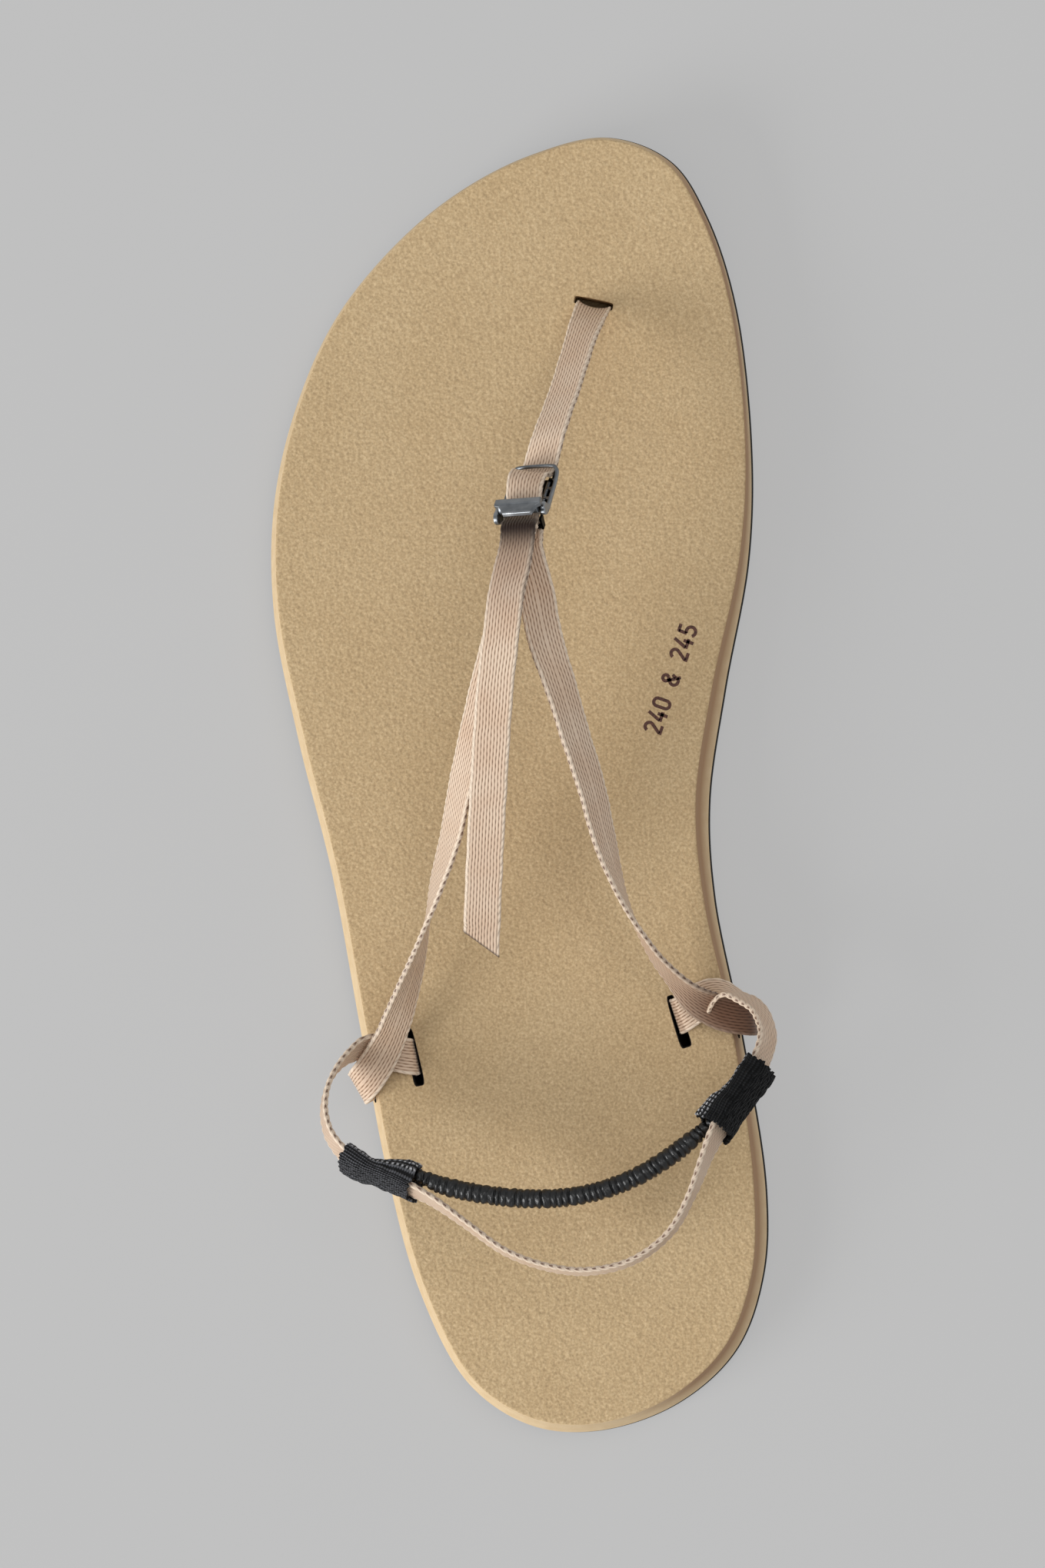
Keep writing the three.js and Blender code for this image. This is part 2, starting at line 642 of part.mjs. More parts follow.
// A flat outline seen from the side, carried across from one side value to another.
function upright(outline, from, to) {
  const shape = new THREE.Shape(outline.map(({ ahead, up }) => new THREE.Vector2(ahead, up)));
  const geometry = new THREE.ExtrudeGeometry(shape, { depth: to - from, bevelEnabled: false });
  geometry.rotateY(Math.PI / 2);
  geometry.rotateX(Math.PI / 2);
  geometry.translate(from, 0, 0);
  return geometry;
}

function sidePlate(sign) {
  const outline = [...SIDE_PLATE, ...(sign > 0 ? RIGHT_CHEEK : LEFT_CHEEK)];
  const inner = BUCKLE.halfWidth - BUCKLE.plate;
  const from = sign > 0 ? inner : -BUCKLE.halfWidth;
  return upright(outline, from, from + BUCKLE.plate);
}

function ear({ sign, ahead, radius }) {
  const outer = BUCKLE.halfWidth + EAR.proud;
  const from = [sign * (outer - EAR.thick), ahead, EAR.up];
  return bar(radius, from, [sign * outer, ahead, EAR.up], 16);
}

function leant(solid) {
  return solid.warp((point) => {
    const back = THREE.MathUtils.clamp(LEAN.start - point[1], 0, LEAN.start - LEAN.end);
    point[0] += LEAN.share * back;
  });
}

// The rail beside the tape on one side, and the struts that carry it from the side plate.
function innerRail(sign, wall) {
  const { side, up, radius, front, rear } = INNER_RAIL;
  const rail = bar(radius, [sign * side, front, up], [sign * side, rear, up], 6);
  const struts = STRUTS.ahead.map((ahead) =>
    bar(radius, [sign * side, ahead, up], [sign * wall, ahead - STRUTS.sweepBack, STRUTS.up], 6),
  );
  return [rail, ...struts];
}

function buckleFrame() {
  const wall = BUCKLE.halfWidth - BUCKLE.plate / 2;
  const front = wall - FRONT_BAR.cornerIn;
  const foot = (REAR_FOOT.from + REAR_FOOT.to) / 2;
  const { ahead, up, radius, cornerBack } = FRONT_BAR;
  const pieces = [
    bar(radius, [-front - radius / 2, ahead, up], [front + radius / 2, ahead, up]),
    bar(REAR_BAR.radius, [-wall, REAR_BAR.ahead, REAR_BAR.up], [foot, REAR_BAR.ahead, REAR_BAR.up]),
    upright(RIGHT_FOOT, REAR_FOOT.from, REAR_FOOT.to),
    ...EARS.map(ear),
  ];
  for (const sign of [-1, 1]) {
    pieces.push(sidePlate(sign), ...innerRail(sign, wall));
    pieces.push(bar(radius, [sign * wall, ahead - cornerBack, up], [sign * front, ahead, up]));
  }
  return fromSolid(leant(joined(pieces)));
}

function buckleLever() {
  const { thick, underside, bevel } = LEVER_PLATE;
  const outline = LEVER_OUTLINE.map(({ side, ahead }) => new THREE.Vector2(side, ahead));
  const plate = new THREE.ExtrudeGeometry(new THREE.Shape(outline), {
    depth: thick - 2 * bevel,
    bevelThickness: bevel,
    bevelSize: bevel,
    bevelOffset: -bevel,
    bevelSegments: 1,
  });
  plate.translate(0, 0, underside + bevel);
  const half = BUCKLE.halfWidth - BUCKLE.plate - GAP;
  const cam = bar(CAM.radius, [-half, CAM.ahead, CAM.up], [half, CAM.ahead, CAM.up], 20);
  return fromSolid(leant(joined([plate, cam])));
}

// Assembly

const sandal = new THREE.Group();

function place(parent, name, geometry, material) {
  const mesh = new THREE.Mesh(geometry, material);
  mesh.name = name;
  parent.add(mesh);
}

place(sandal, "midsole", midsole(), footbedTan);
place(sandal, "outsole", outsole(), rubberBlack);
place(sandal, "toe_tape", toeTape(), tapeBeige);
place(sandal, "instep_heel_tape", instepHeelTape(), tapeBeige);
const lateralTab = heelTab(LATERAL_HEEL.slice(-2), LATERAL_TAB, HEEL_BACK.slice(0, 2));
const medialTab = heelTab(HEEL_BACK.slice(-2), MEDIAL_TAB, MEDIAL_HEEL.slice(0, 2));
place(sandal, "heel_tab_lateral", lateralTab, wovenBlack);
place(sandal, "heel_tab_medial", medialTab, wovenBlack);
place(sandal, "heel_elastic", heelElastic(), elasticBlack);

const buckle = new THREE.Group();
buckle.position.copy(buckleMiddle);
buckle.rotation.copy(buckleTurn);
place(buckle, "buckle_frame", buckleFrame(), gunmetal);
place(buckle, "buckle_lever", buckleLever(), gunmetal);
sandal.add(buckle);

export default sandal;
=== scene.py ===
"""Left barefoot sandal: flared foam sole, woven tapes, folded tabs, gathered elastic, cam buckle.

Tables and sizes are in millimetres, and every mesh is written in metres. +Z is up, +Y points to
the toes and +X to the big toe side, as in the frame.
"""

import math

import bmesh
import bpy
import numpy as np
from mathutils import Matrix, Vector


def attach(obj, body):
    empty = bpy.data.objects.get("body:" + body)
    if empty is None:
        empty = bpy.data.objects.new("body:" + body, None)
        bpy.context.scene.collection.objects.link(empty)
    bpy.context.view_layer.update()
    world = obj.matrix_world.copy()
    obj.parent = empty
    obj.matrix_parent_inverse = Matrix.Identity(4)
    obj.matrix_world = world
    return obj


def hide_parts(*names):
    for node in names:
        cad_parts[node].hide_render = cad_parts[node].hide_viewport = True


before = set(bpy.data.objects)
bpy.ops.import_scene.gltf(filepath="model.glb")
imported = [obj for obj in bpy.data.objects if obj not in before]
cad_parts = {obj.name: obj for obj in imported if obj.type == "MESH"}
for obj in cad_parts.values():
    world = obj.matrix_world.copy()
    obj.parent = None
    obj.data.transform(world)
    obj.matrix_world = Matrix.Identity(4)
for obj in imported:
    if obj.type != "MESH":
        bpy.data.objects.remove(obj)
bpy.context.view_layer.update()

MM = 0.001

# Sole sizes

SOLE_TOP = 12.0
SOLE_FOOT = 1.9
SHEET_TOP = 1.6
TREAD_DEPTH = 0.8
SHEET_PROUD = {"middle": 0.1, "medial": 0.24}
RIM_WIDTH = 3.2
SPRING_START = 78.0
SPRING_END = 130.0
TOE_SPRING = 4.0
EDGE_RADIUS = 0.45
# Edges that turn by more than this many degrees stay sharp to the eye.
SOLE_SHARP = 35

# Outline of the footbed from the toe tip down the little toe side and back: x, y and the flare
# of the wall at its foot.
OUTLINE = [
    (17.5, 130, 1.2), (3, 126.9, 1.2), (-11.1, 120, 1.2), (-23.8, 110, 1.2),
    (-36.4, 95, 1.2), (-44.2, 78, 1.3), (-48.8, 58, 1.5), (-48.9, 36, 1.6),
    (-43.7, 10, 1.8), (-36.9, -17, 1.8), (-31.2, -48, 1.8), (-25.6, -78, 1.8),
    (-18.9, -102, 1.9), (-9.1, -120, 2.1), (2.5, -127.4, 2.4), (15, -128.5, 2.3),
    (30, -123.3, 2.4), (41.3, -113, 2.5), (46.7, -99, 2.2), (47.4, -82, 2.1),
    (43.2, -50, 1.3), (37.2, -22.5, 1.8), (35.6, -3, 2.4), (38.9, 20, 2.3),
    (44.4, 46, 1.5), (45.6, 68, 0.9), (42.5, 97, 0.8), (36.6, 115, 0.9),
    (29.5, 125.5, 1.1),
]
# Rows of OUTLINE where its four sides meet: toe to little toe side, and so on round.
CORNER_ROWS = (2, 13, 17, 27)

# Slots through the footbed: x, y, length, bearing of the length, and the width at both ends.
SLOTS = [
    (14.95, 97.3, 7.9, -12, 1.7, 1.7), (-21.3, -54.6, 11.6, -78.5, 1.2, 2.1),
    (32, -47.3, 10.8, -71.4, 1.3, 2.3),
]
SLOT_LIP = 0.14
SLOT_FLOOR = 3.2
POCKET = {"growth": 1.8, "top": 5.9}
# Channels: the two ends of the middle line of each.
CHANNELS = [((-21.6, -54.8), (-34, -61.6)), ((32, -46.4), (48, -46.6))]
CHANNEL = {"wide": 8.8, "tall": 2.3, "middle": 4.4}

# Buckle, placed as in CAD: its middle, and its turns in degrees from lying level, front to the toes.
BUCKLE_MIDDLE = (2.86, 57.9, 46.5)
BUCKLE_TURNS = {"yaw": -19, "pitch": -42, "roll": -31}

# Tape rows: x, y, z of the middle, then bearing and lift of the width in degrees. Rows inside
# the buckle are back, side, up and roll in the buckle's own frame.
TOE_RISE = [
    (15, 97, 3.7, -12, 0), (15, 97, 8, -12, 0), (14.9, 96.7, 12.8, -11, 4),
    (14, 93.8, 17.4, -3, 15), (12.7, 89.4, 22.3, 4, 27), (9.9, 78.9, 31.7, 5, 30),
    (6.9, 69.2, 39, 4, 26),
]
TOE_IN_BUCKLE = [
    (-8.6, 0, -1.15, 0), (-7, 0, -1.12, 0), (-5.6, 0, -0.75, 2), (-4.8, -0.1, 0.3, 10),
    (-3.7, -0.15, 1.3, 17), (-1.6, -0.05, 1.55, 16), (1, 0.15, 0.85, 8), (3, 0.3, -0.25, 2),
    (5, 0.45, -1.05, 0), (6.2, 0.5, -1.12, 0), (7.6, 0.6, -0.95, 0), (9.2, 0.8, -0.6, 0),
]
TAIL = [
    (1.35, 47.6, 54.1, 2, 21), (0.5, 43.3, 55.1, 0, 20), (-0.6, 38.6, 55.3, -4, 18),
    (-1.8, 29, 55, -7, 12), (-2.95, 19.4, 53.7, -6, 6), (-4.5, 0, 48.3, -4, 0),
    (-5.9, -19.6, 39.9, -5, -6), (-6.6, -31.2, 34.3, -5, -10),
]
REAR_LOOP = [
    (8.8, 0.2, -2.4, 0), (7.4, 0.1, -2.55, 0), (6, 0, -2.6, 0), (5, 0, -3, 0), (4.6, 0, -4, 0),
    (5, 0, -5, 0), (6, 0, -5.4, 0), (7.4, 0.2, -5.6, 0), (8.8, 0.35, -5.85, 0),
]
LATERAL_START = [(7.7, 0.12, -2.52, 0), (9.4, 0.25, -2.35, 0)]
LATERAL_LEG = [
    (1, 45.4, 52.6, 3, 23), (-0.3, 38.8, 53.1, 0, 24), (-2.3, 29, 52, -6, 28),
    (-5.1, 19.4, 49.6, -9, 36), (-10.2, 0, 43.4, -12, 50), (-12.4, -9.8, 39.6, -13, 57),
    (-15.5, -19.6, 35.2, -15, 70), (-17.8, -27.1, 31.2, -17, 88),
    (-20, -34.6, 26.9, -19, 107), (-23.4, -44.4, 21.3, -24, 129),
    (-25.5, -49.8, 18.4, -30, 140), (-28.2, -55, 15.9, -42, 157),
]
LATERAL_WRAP = [
    (-30.5, -58.5, 13.8, -56, 174), (-32, -60.3, 12.3, -60, 180), (-32.6, -60.9, 10, -60, 180),
    (-32.7, -61, 7.2, -60, 180), (-32.1, -60.7, 5.2, -60, 180), (-30.4, -59.8, 4.4, -61, 180),
    (-23.2, -55.8, 4.4, -73, 180), (-21.75, -54.9, 4.75, -77, 180),
    (-21.3, -54.6, 5.9, -78.5, 180), (-21.3, -54.6, 8, -78.5, 180),
    (-21.3, -54.6, 11.4, -78.5, 180), (-22.2, -54.4, 13.1, -79, 178),
]
LATERAL_HEEL = [
    (-25, -53.8, 13.6, -79, 172), (-28.3, -52.9, 14.4, -74, 150),
    (-31.4, -52.6, 16.1, -62, 122), (-34.4, -54.3, 18.2, -40, 100),
    (-36.9, -57.4, 20.6, 0, 89), (-38.3, -61.4, 23.1, -5, 85), (-38.4, -65.6, 25.8, 5, 80),
    (-37, -69.7, 28.4, 28, 74),
]
LATERAL_TAB = [
    (-33.6, -73.6, 30.8, 52, 67), (-29.4, -76, 32, 62, 67), (-25.2, -77.8, 33, 64, 68),
    (-20.8, -79.8, 33.6, 62, 69),
]
HEEL_BACK = [
    (-16.4, -82.1, 33.5, 58, 74), (-9.9, -86.7, 32.6, 55, 78), (-1.8, -92.4, 31.7, 65, 79),
    (6.5, -95.4, 31.3, 80, 79), (14.5, -96.2, 31.3, 95, 79), (23.4, -94, 31.6, 118, 80),
    (30.7, -88.4, 32.2, 142, 81), (35, -80.8, 32.9, 157, 80), (38, -73.1, 33.5, 156, 73),
]
MEDIAL_TAB = [
    (40.5, -67.6, 33.5, 145, 63), (42.9, -63.6, 32.7, 142, 60), (45.6, -59.3, 31.6, 142, 60),
    (48.2, -55.2, 30.2, 149, 61),
]
MEDIAL_HEEL = [
    (49.6, -51.6, 28, 172, 67), (49.8, -48.4, 25.6, 190, 70), (48.4, -44.9, 23, 210, 73),
    (45.9, -42.7, 20.7, 238, 76), (43.1, -41.6, 18.5, 280, 84), (40.2, -41.4, 16.5, 292, 60),
    (37.3, -42.3, 14.7, 295, 30), (34.9, -44.2, 13.7, 292, 8),
]
MEDIAL_WRAP = [
    (32.6, -45.9, 13, 289, 2), (31.7, -46.3, 11.4, 288.6, 0), (31.7, -46.3, 8, 288.6, 0),
    (31.7, -46.3, 5.9, 288, 0), (32.1, -46.35, 4.75, 287, 0), (33.5, -46.4, 4.4, 285, 0),
    (44.5, -46.5, 4.4, 279, 0), (46.3, -46.5, 5.2, 278, 0), (47.1, -46.5, 7.2, 277, 0),
    (47.2, -46.5, 10.2, 276, 0), (46.4, -46.4, 12.6, 273, 0), (44.2, -46.2, 13.8, 261, 0),
]
MEDIAL_LEG = [
    (40.6, -45.3, 15.1, 248, -12), (36.5, -43.3, 17.2, 235, -32), (32.7, -39.8, 19.6, 225, -60),
    (28.3, -34.7, 22.3, 218, -74), (25.2, -29.7, 25, 212, -83), (22.6, -24.7, 27.8, 26, -88),
    (20.6, -19.6, 30.6, 22, -78), (17.7, -9.8, 35.8, 19, -57), (15.4, 0, 40.5, 17, -48),
    (12.5, 9.7, 44.6, 18, -43), (9.7, 19.4, 47.7, 18, -36), (6.7, 29, 49.8, 14, -22),
    (4.7, 38.8, 50.4, 9, -6), (3.4, 43.6, 50, 5, 10),
]
MEDIAL_END = [(9.4, 0.4, -5.9, 0), (7.7, 0.22, -5.64, 0)]

# Dark bands on the toe tape by the lever, painted shadow of the lever lip with some dirt from
# handling: back and up in the buckle's frame, reach and depth. No point further than the limit
# from a band's place takes it.
LEVER_SHADOW_AND_SOIL = [(9.9, -0.4, 3.8, 1.0), (4.2, -0.6, 1.0, 0.5)]
LEVER_BAND_LIMIT = 11
# Painted shade: browner stretches of each tape where it turns away from the key lamp and, by the
# # medial hitch, lies in the heel tape's shadow: x, y, z, reach and depth.
TOE_PAINTED_SHADE = [(1.2, 43.5, 54.5, 10, 0.45)]
INSTEP_PAINTED_SHADE = [(47, -47, 11.5, 8, 0.9), (38, -44, 16.5, 8, 0.6), (29, -35.5, 22, 12, 0.3)]

# Gathered elastic: x, y, z of its middle and its size as a share of full size.
ELASTIC = [
    (-20.6, -76.7, 34.9, 0.6), (-17.6, -77.6, 35.4, 0.75), (-14.6, -78.8, 35.9, 0.95),
    (-10.6, -79.8, 36.5, 1), (-3.7, -80.9, 37.2, 1), (3.3, -81.4, 37.5, 1),
    (10.3, -81.1, 37.5, 1), (17.3, -79.7, 37.2, 1), (24.3, -77, 36.7, 1),
    (30.8, -73.1, 35.8, 1), (34.6, -70.2, 35.1, 0.95), (36.9, -68.2, 34.5, 0.75),
    (39.2, -66.2, 34, 0.6),
]
ELASTIC_RADIUS = 1.8
ELASTIC_STEP = 0.11
ELASTIC_SIDES = 48
PLEAT = {"pitch": 1.36, "depth": 0.62}

# Tape sizes. The braid is the corded edge that a needle loom leaves.
TAPE = {"width": 7.3, "thickness": 0.85, "step": 0.29}
BRAID = {"pitch": 1.8, "height": 0.24, "slant": 0.7, "reach": 0.62, "fade": 0.3}
# The toe tape is cupped in its slot, up to the first length, and flat from the second.
CUPPED = (9.0, 16.0)
# Tab: its sleeve, its ribs with their finer grain, and its needle marks.
TAB = {"width": 9.4, "outer": 1.75, "inner": 2.1, "swell": 3.0, "wall": 0.45, "step": 0.18}
TAB_SIDES = 240
TAB_RIB = {"pitch": 1.05, "height": 0.09}
TAB_GRAIN = {"pitch": 0.42, "height": 0.025}
STITCH = {"pitch": 0.9, "width": 0.17}

# Camera, as far over the footbed as the photograph's, and the height it frames there.
CAMERA_AT = (57.0, 1.6, 1312.0)
CAMERA_AIM = (0.6, 0.5, 12.0)
FRAMED_HEIGHT = 316.0
SENSOR = 36.0

# Lamps: name, place, size and watts. Both are white soft boxes aimed at the origin.
LAMPS = [("key_left", (-1600, -900, 920), 1000, 33), ("top_soft", (500, 500, 1900), 1100, 7)]
FILL_STRENGTH = 0.445


# Curves and frames

def cubic(points, per_span, closed=False, alpha=0.5):
    """Points on a Catmull-Rom curve through every row. Each span is the Hermite cubic whose end
    slopes come from the chords around it, weighted by chord length to the power alpha."""
    p = np.asarray(points, float)
    if closed:
        p = np.vstack([p[-1:], p, p[:2]])
    else:
        p = np.vstack([2 * p[0] - p[1], p, 2 * p[-1] - p[-2]])
    chord = np.linalg.norm(np.diff(p, axis=0), axis=1)[:, None] ** alpha
    d0, d1, d2 = chord[:-2], chord[1:-1], chord[2:]
    a, b, c, d = p[:-3], p[1:-2], p[2:-1], p[3:]
    leave = ((b - a) / d0 - (c - a) / (d0 + d1) + (c - b) / d1) * d1
    arrive = ((c - b) / d1 - (d - b) / (d1 + d2) + (d - c) / d2) * d1
    t = (np.arange(per_span) / per_span)[None, :, None]
    b, c, leave, arrive = (v[:, None, :] for v in (b, c, leave, arrive))
    curve = (
        (2 * t**3 - 3 * t**2 + 1) * b
        + (t**3 - 2 * t**2 + t) * leave
        + (3 * t**2 - 2 * t**3) * c
        + (t**3 - t**2) * arrive
    ).reshape(-1, p.shape[1])
    return curve if closed else np.vstack([curve, p[-2]])


def unit(vectors):
    """Each row divided by its own length."""
    return vectors / np.linalg.norm(vectors, axis=-1, keepdims=True)


def length_along(points):
    """Distance travelled from the first point to each point."""
    steps = np.linalg.norm(np.diff(points, axis=0), axis=1)
    return np.concatenate([[0], np.cumsum(steps)])


def evenly(curve, count, columns=3):
    """The curve's values at equal steps of the length along its first columns."""
    length = length_along(curve[:, :columns])
    along = np.linspace(0, length[-1], count)
    return along, np.stack([np.interp(along, length, value) for value in curve.T], axis=1)


def smooth_step(low, high, value):
    """0 below low, 1 above high, and the cubic 3t2 - 2t3 between."""
    t = np.clip((value - low) / (high - low), 0, 1)
    return t * t * (3 - 2 * t)


def waver(along, seed, pitch):
    """A slow wander between about -1 and 1: three sines whose periods share no common one."""
    a, b, c = 1 / pitch, 1 / (pitch * 0.618), 1 / (pitch * 0.371)
    turn = 2 * np.pi * along
    return (
        0.5 * np.sin(turn * a + seed)
        + 0.3 * np.sin(turn * b + 2.1 * seed)
        + 0.2 * np.sin(turn * c + 3.7 * seed)
    )


def full_turn(count):
    """Equal angles round a full circle, in radians, from nought."""
    return np.linspace(0, 2 * np.pi, count + 1)[:-1]


def flat_turn(angle):
    """Matrix that turns rows of flat points by an angle in radians."""
    c, s = math.cos(angle), math.sin(angle)
    return np.array([[c, s], [-s, c]])


def turn_about(axis, degrees):
    """Rotation matrix about one axis of the frame."""
    c, s = math.cos(math.radians(degrees)), math.sin(math.radians(degrees))
    i, j = (axis + 1) % 3, (axis + 2) % 3
    matrix = np.eye(3)
    matrix[i, i] = matrix[j, j] = c
    matrix[i, j], matrix[j, i] = -s, s
    return matrix


BUCKLE_TURN = (
    turn_about(2, BUCKLE_TURNS["yaw"])
    @ turn_about(0, BUCKLE_TURNS["pitch"])
    @ turn_about(1, BUCKLE_TURNS["roll"])
)


def tape_rows(rows):
    """x, y, z and the unit width from rows of place, bearing and lift."""
    x, y, z, bearing, lift = np.array(rows, float).T
    b, u = np.radians(bearing), np.radians(lift)
    return np.stack([x, y, z, np.cos(b) * np.cos(u), np.sin(b) * np.cos(u), np.sin(u)], 1)


def buckle_rows(rows):
    """The same six columns from rows of back, side, up and roll in the buckle's own frame."""
    back, side, up, roll = np.array(rows, float).T
    middle = np.stack([side, -back, up], 1) @ BUCKLE_TURN.T + BUCKLE_MIDDLE
    r = np.radians(roll)
    across = np.stack([np.cos(r), 0 * r, -np.sin(r)], 1) @ BUCKLE_TURN.T
    return np.hstack([middle, across])


def tape_line(rows, step):
    """Distance along, middle, forward, across and through at even steps along a tape. The width
    is made square to the path, and each row's sense is the one nearer to the row before."""
    middle, across = rows[:, :3], rows[:, 3:]
    same = np.sign((across[1:] * across[:-1]).sum(1))
    across = across * np.concatenate([[1], np.cumprod(same)])[:, None]
    curve = np.hstack([cubic(middle, 24), cubic(across, 24, alpha=0)])
    count = int(length_along(curve[:, :3])[-1] / step) + 1
    along, line = evenly(curve, count)
    forward = unit(np.gradient(line[:, :3], axis=0))
    across = line[:, 3:] - (line[:, 3:] * forward).sum(1, keepdims=True) * forward
    across = unit(across)
    return along, line[:, :3], forward, across, np.cross(forward, across)


# Meshes from arrays

def grid_quads(rows, columns, closed_rows=False, closed_columns=False):
    """Quads between neighbours of a grid numbered row by row, and each corner's row and column
    before it wraps round."""
    r, c = np.meshgrid(
        np.arange(rows - (not closed_rows)), np.arange(columns - (not closed_columns)),
        indexing="ij",
    )
    r = np.stack([r, r, r + 1, r + 1], -1).reshape(-1, 4)
    c = np.stack([c, c + 1, c + 1, c], -1).reshape(-1, 4)
    return (r % rows) * columns + c % columns, r, c


def tube_shell(rings, along, around, ends=True, closed_rows=False):
    """A skin over rings of points, closed round each ring. The UV is the distance round and the
    distance along. Both ends are closed by one face each, unless the rings close on themselves."""
    rows, columns = rings.shape[:2]
    quads, r, c = grid_quads(rows, columns, closed_rows=closed_rows, closed_columns=True)
    uv = np.stack([around[c], along[r]], -1)
    caps = []
    if ends:
        caps = [list(range(columns)), list(range((rows - 1) * columns, rows * columns))]
    return {"points": rings.reshape(-1, 3), "quads": quads, "uv": uv, "caps": caps, "values": {}}


def plain_tube(rings):
    """A closed tube for a material that makes no use of its UV, which is nought."""
    return tube_shell(rings, np.zeros(rings.shape[0]), np.zeros(rings.shape[1] + 1))


def joined_shells(shells):
    """Several shells as one, with their points renumbered."""
    starts = np.cumsum([0] + [len(s["points"]) for s in shells])
    return {
        "points": np.vstack([s["points"] for s in shells]),
        "quads": np.vstack([s["quads"] + n for s, n in zip(shells, starts)]),
        "uv": np.vstack([s["uv"] for s in shells]),
        "caps": [[i + n for i in cap] for s, n in zip(shells, starts) for cap in s["caps"]],
        "values": {
            key: np.concatenate([s["values"][key] for s in shells]) for key in shells[0]["values"]
        },
    }


def shade(mesh, sharp=None):
    """Smooth shading, where edges that turn by more than an angle in degrees stay sharp."""
    mesh.shade_smooth()
    if sharp is not None:
        mesh.set_sharp_from_angle(angle=math.radians(sharp))


def piece_from(name, shell, materials, scale=MM, sharp=None):
    """A Blender object from a shell: its points in metres, UV map, named point values and
    materials, with its faces pointing out."""
    mesh = bpy.data.meshes.new(name)
    faces = shell["quads"].tolist() + shell["caps"]
    mesh.from_pydata((shell["points"] * scale).tolist(), [], faces)
    layer = mesh.uv_layers.new(name="UVMap")
    corners = np.zeros((len(mesh.loops), 2), np.float32)
    corners[: shell["uv"].shape[0] * 4] = shell["uv"].reshape(-1, 2)
    layer.uv.foreach_set("vector", corners.ravel())
    for key, value in shell["values"].items():
        attribute = mesh.attributes.new(key, "FLOAT", "POINT")
        attribute.data.foreach_set("value", value.astype(np.float32))
    net = bmesh.new()
    net.from_mesh(mesh)
    bmesh.ops.recalc_face_normals(net, faces=net.faces)
    net.to_mesh(mesh)
    net.free()
    shade(mesh, sharp)
    for material in materials:
        mesh.materials.append(material)
    piece = bpy.data.objects.new(name, mesh)
    bpy.context.scene.collection.objects.link(piece)
    return piece


def weld(piece, distance):
    """Joins points of a piece that lie closer than a distance in millimetres."""
    net = bmesh.new()
    net.from_mesh(piece.data)
    bmesh.ops.remove_doubles(net, verts=net.verts, dist=distance * MM)
    bmesh.ops.recalc_face_normals(net, faces=net.faces)
    net.to_mesh(piece.data)
    net.free()


def settle(piece):
    """Applies a piece's modifiers, so that its mesh is final."""
    graph = bpy.context.evaluated_depsgraph_get()
    final = bpy.data.meshes.new_from_object(piece.evaluated_get(graph))
    piece.modifiers.clear()
    old = piece.data
    piece.data = final
    bpy.data.meshes.remove(old)
    final.name = piece.name


# Materials

def colour(code):
    """An sRGB hex colour as linear red, green, blue and alpha."""
    srgb = np.array([int(code[i : i + 2], 16) for i in (1, 3, 5)]) / 255
    linear = np.where(srgb <= 0.04045, srgb / 12.92, ((srgb + 0.055) / 1.055) ** 2.4)
    return (*linear.tolist(), 1.0)


def add(tree, kind, inputs=None, stops=None, **settings):
    """Adds one node with its settings and links. An input is a value, one output of another node,
    or another node, whose first live output is taken. Stops are a ramp's places and colours."""
    node = tree.nodes.new("ShaderNode" + kind)
    for key, value in settings.items():
        setattr(node, key, value)
    if stops:
        elements = node.color_ramp.elements
        for _ in stops[2:]:
            elements.new(0.5)
        for element, (at, code) in zip(elements, stops):
            element.position, element.color = at, colour(code)
    for key, value in (inputs or {}).items():
        if isinstance(value, bpy.types.Node):
            value = next(socket for socket in value.outputs if socket.enabled)
        if isinstance(value, bpy.types.NodeSocket):
            tree.links.new(value, node.inputs[key])
        else:
            node.inputs[key].default_value = value
    return node


def new_material(name):
    """A named material and its empty node tree."""
    material = bpy.data.materials.new(name)
    material.use_nodes = True
    material.node_tree.nodes.clear()
    return material, material.node_tree


def place_in_mm(tree):
    """Object coordinates in millimetres, so that a pattern's scale is its cells a millimetre."""
    place = add(tree, "TexCoord").outputs["Object"]
    return add(tree, "VectorMath", {0: place, "Scale": 1 / MM}, operation="SCALE")


# Two colours are laid one over the other, or one is tinted by the other. The inputs are the share
# and the colours under and over.
LAID = {"data_type": "RGBA", "blend_type": "MIX"}
TINTED = {"data_type": "RGBA", "blend_type": "MULTIPLY"}
SHARE, UNDER, OVER = 0, 6, 7

# Weaves: the tape's warp ribs and the ticks between them, and the ribbon's ribs and picks.
TAPE_RIB = 0.61
TAPE_TICK = 1.55
RIBBON_RIB = 0.62
RIBBON_PICK = 0.5


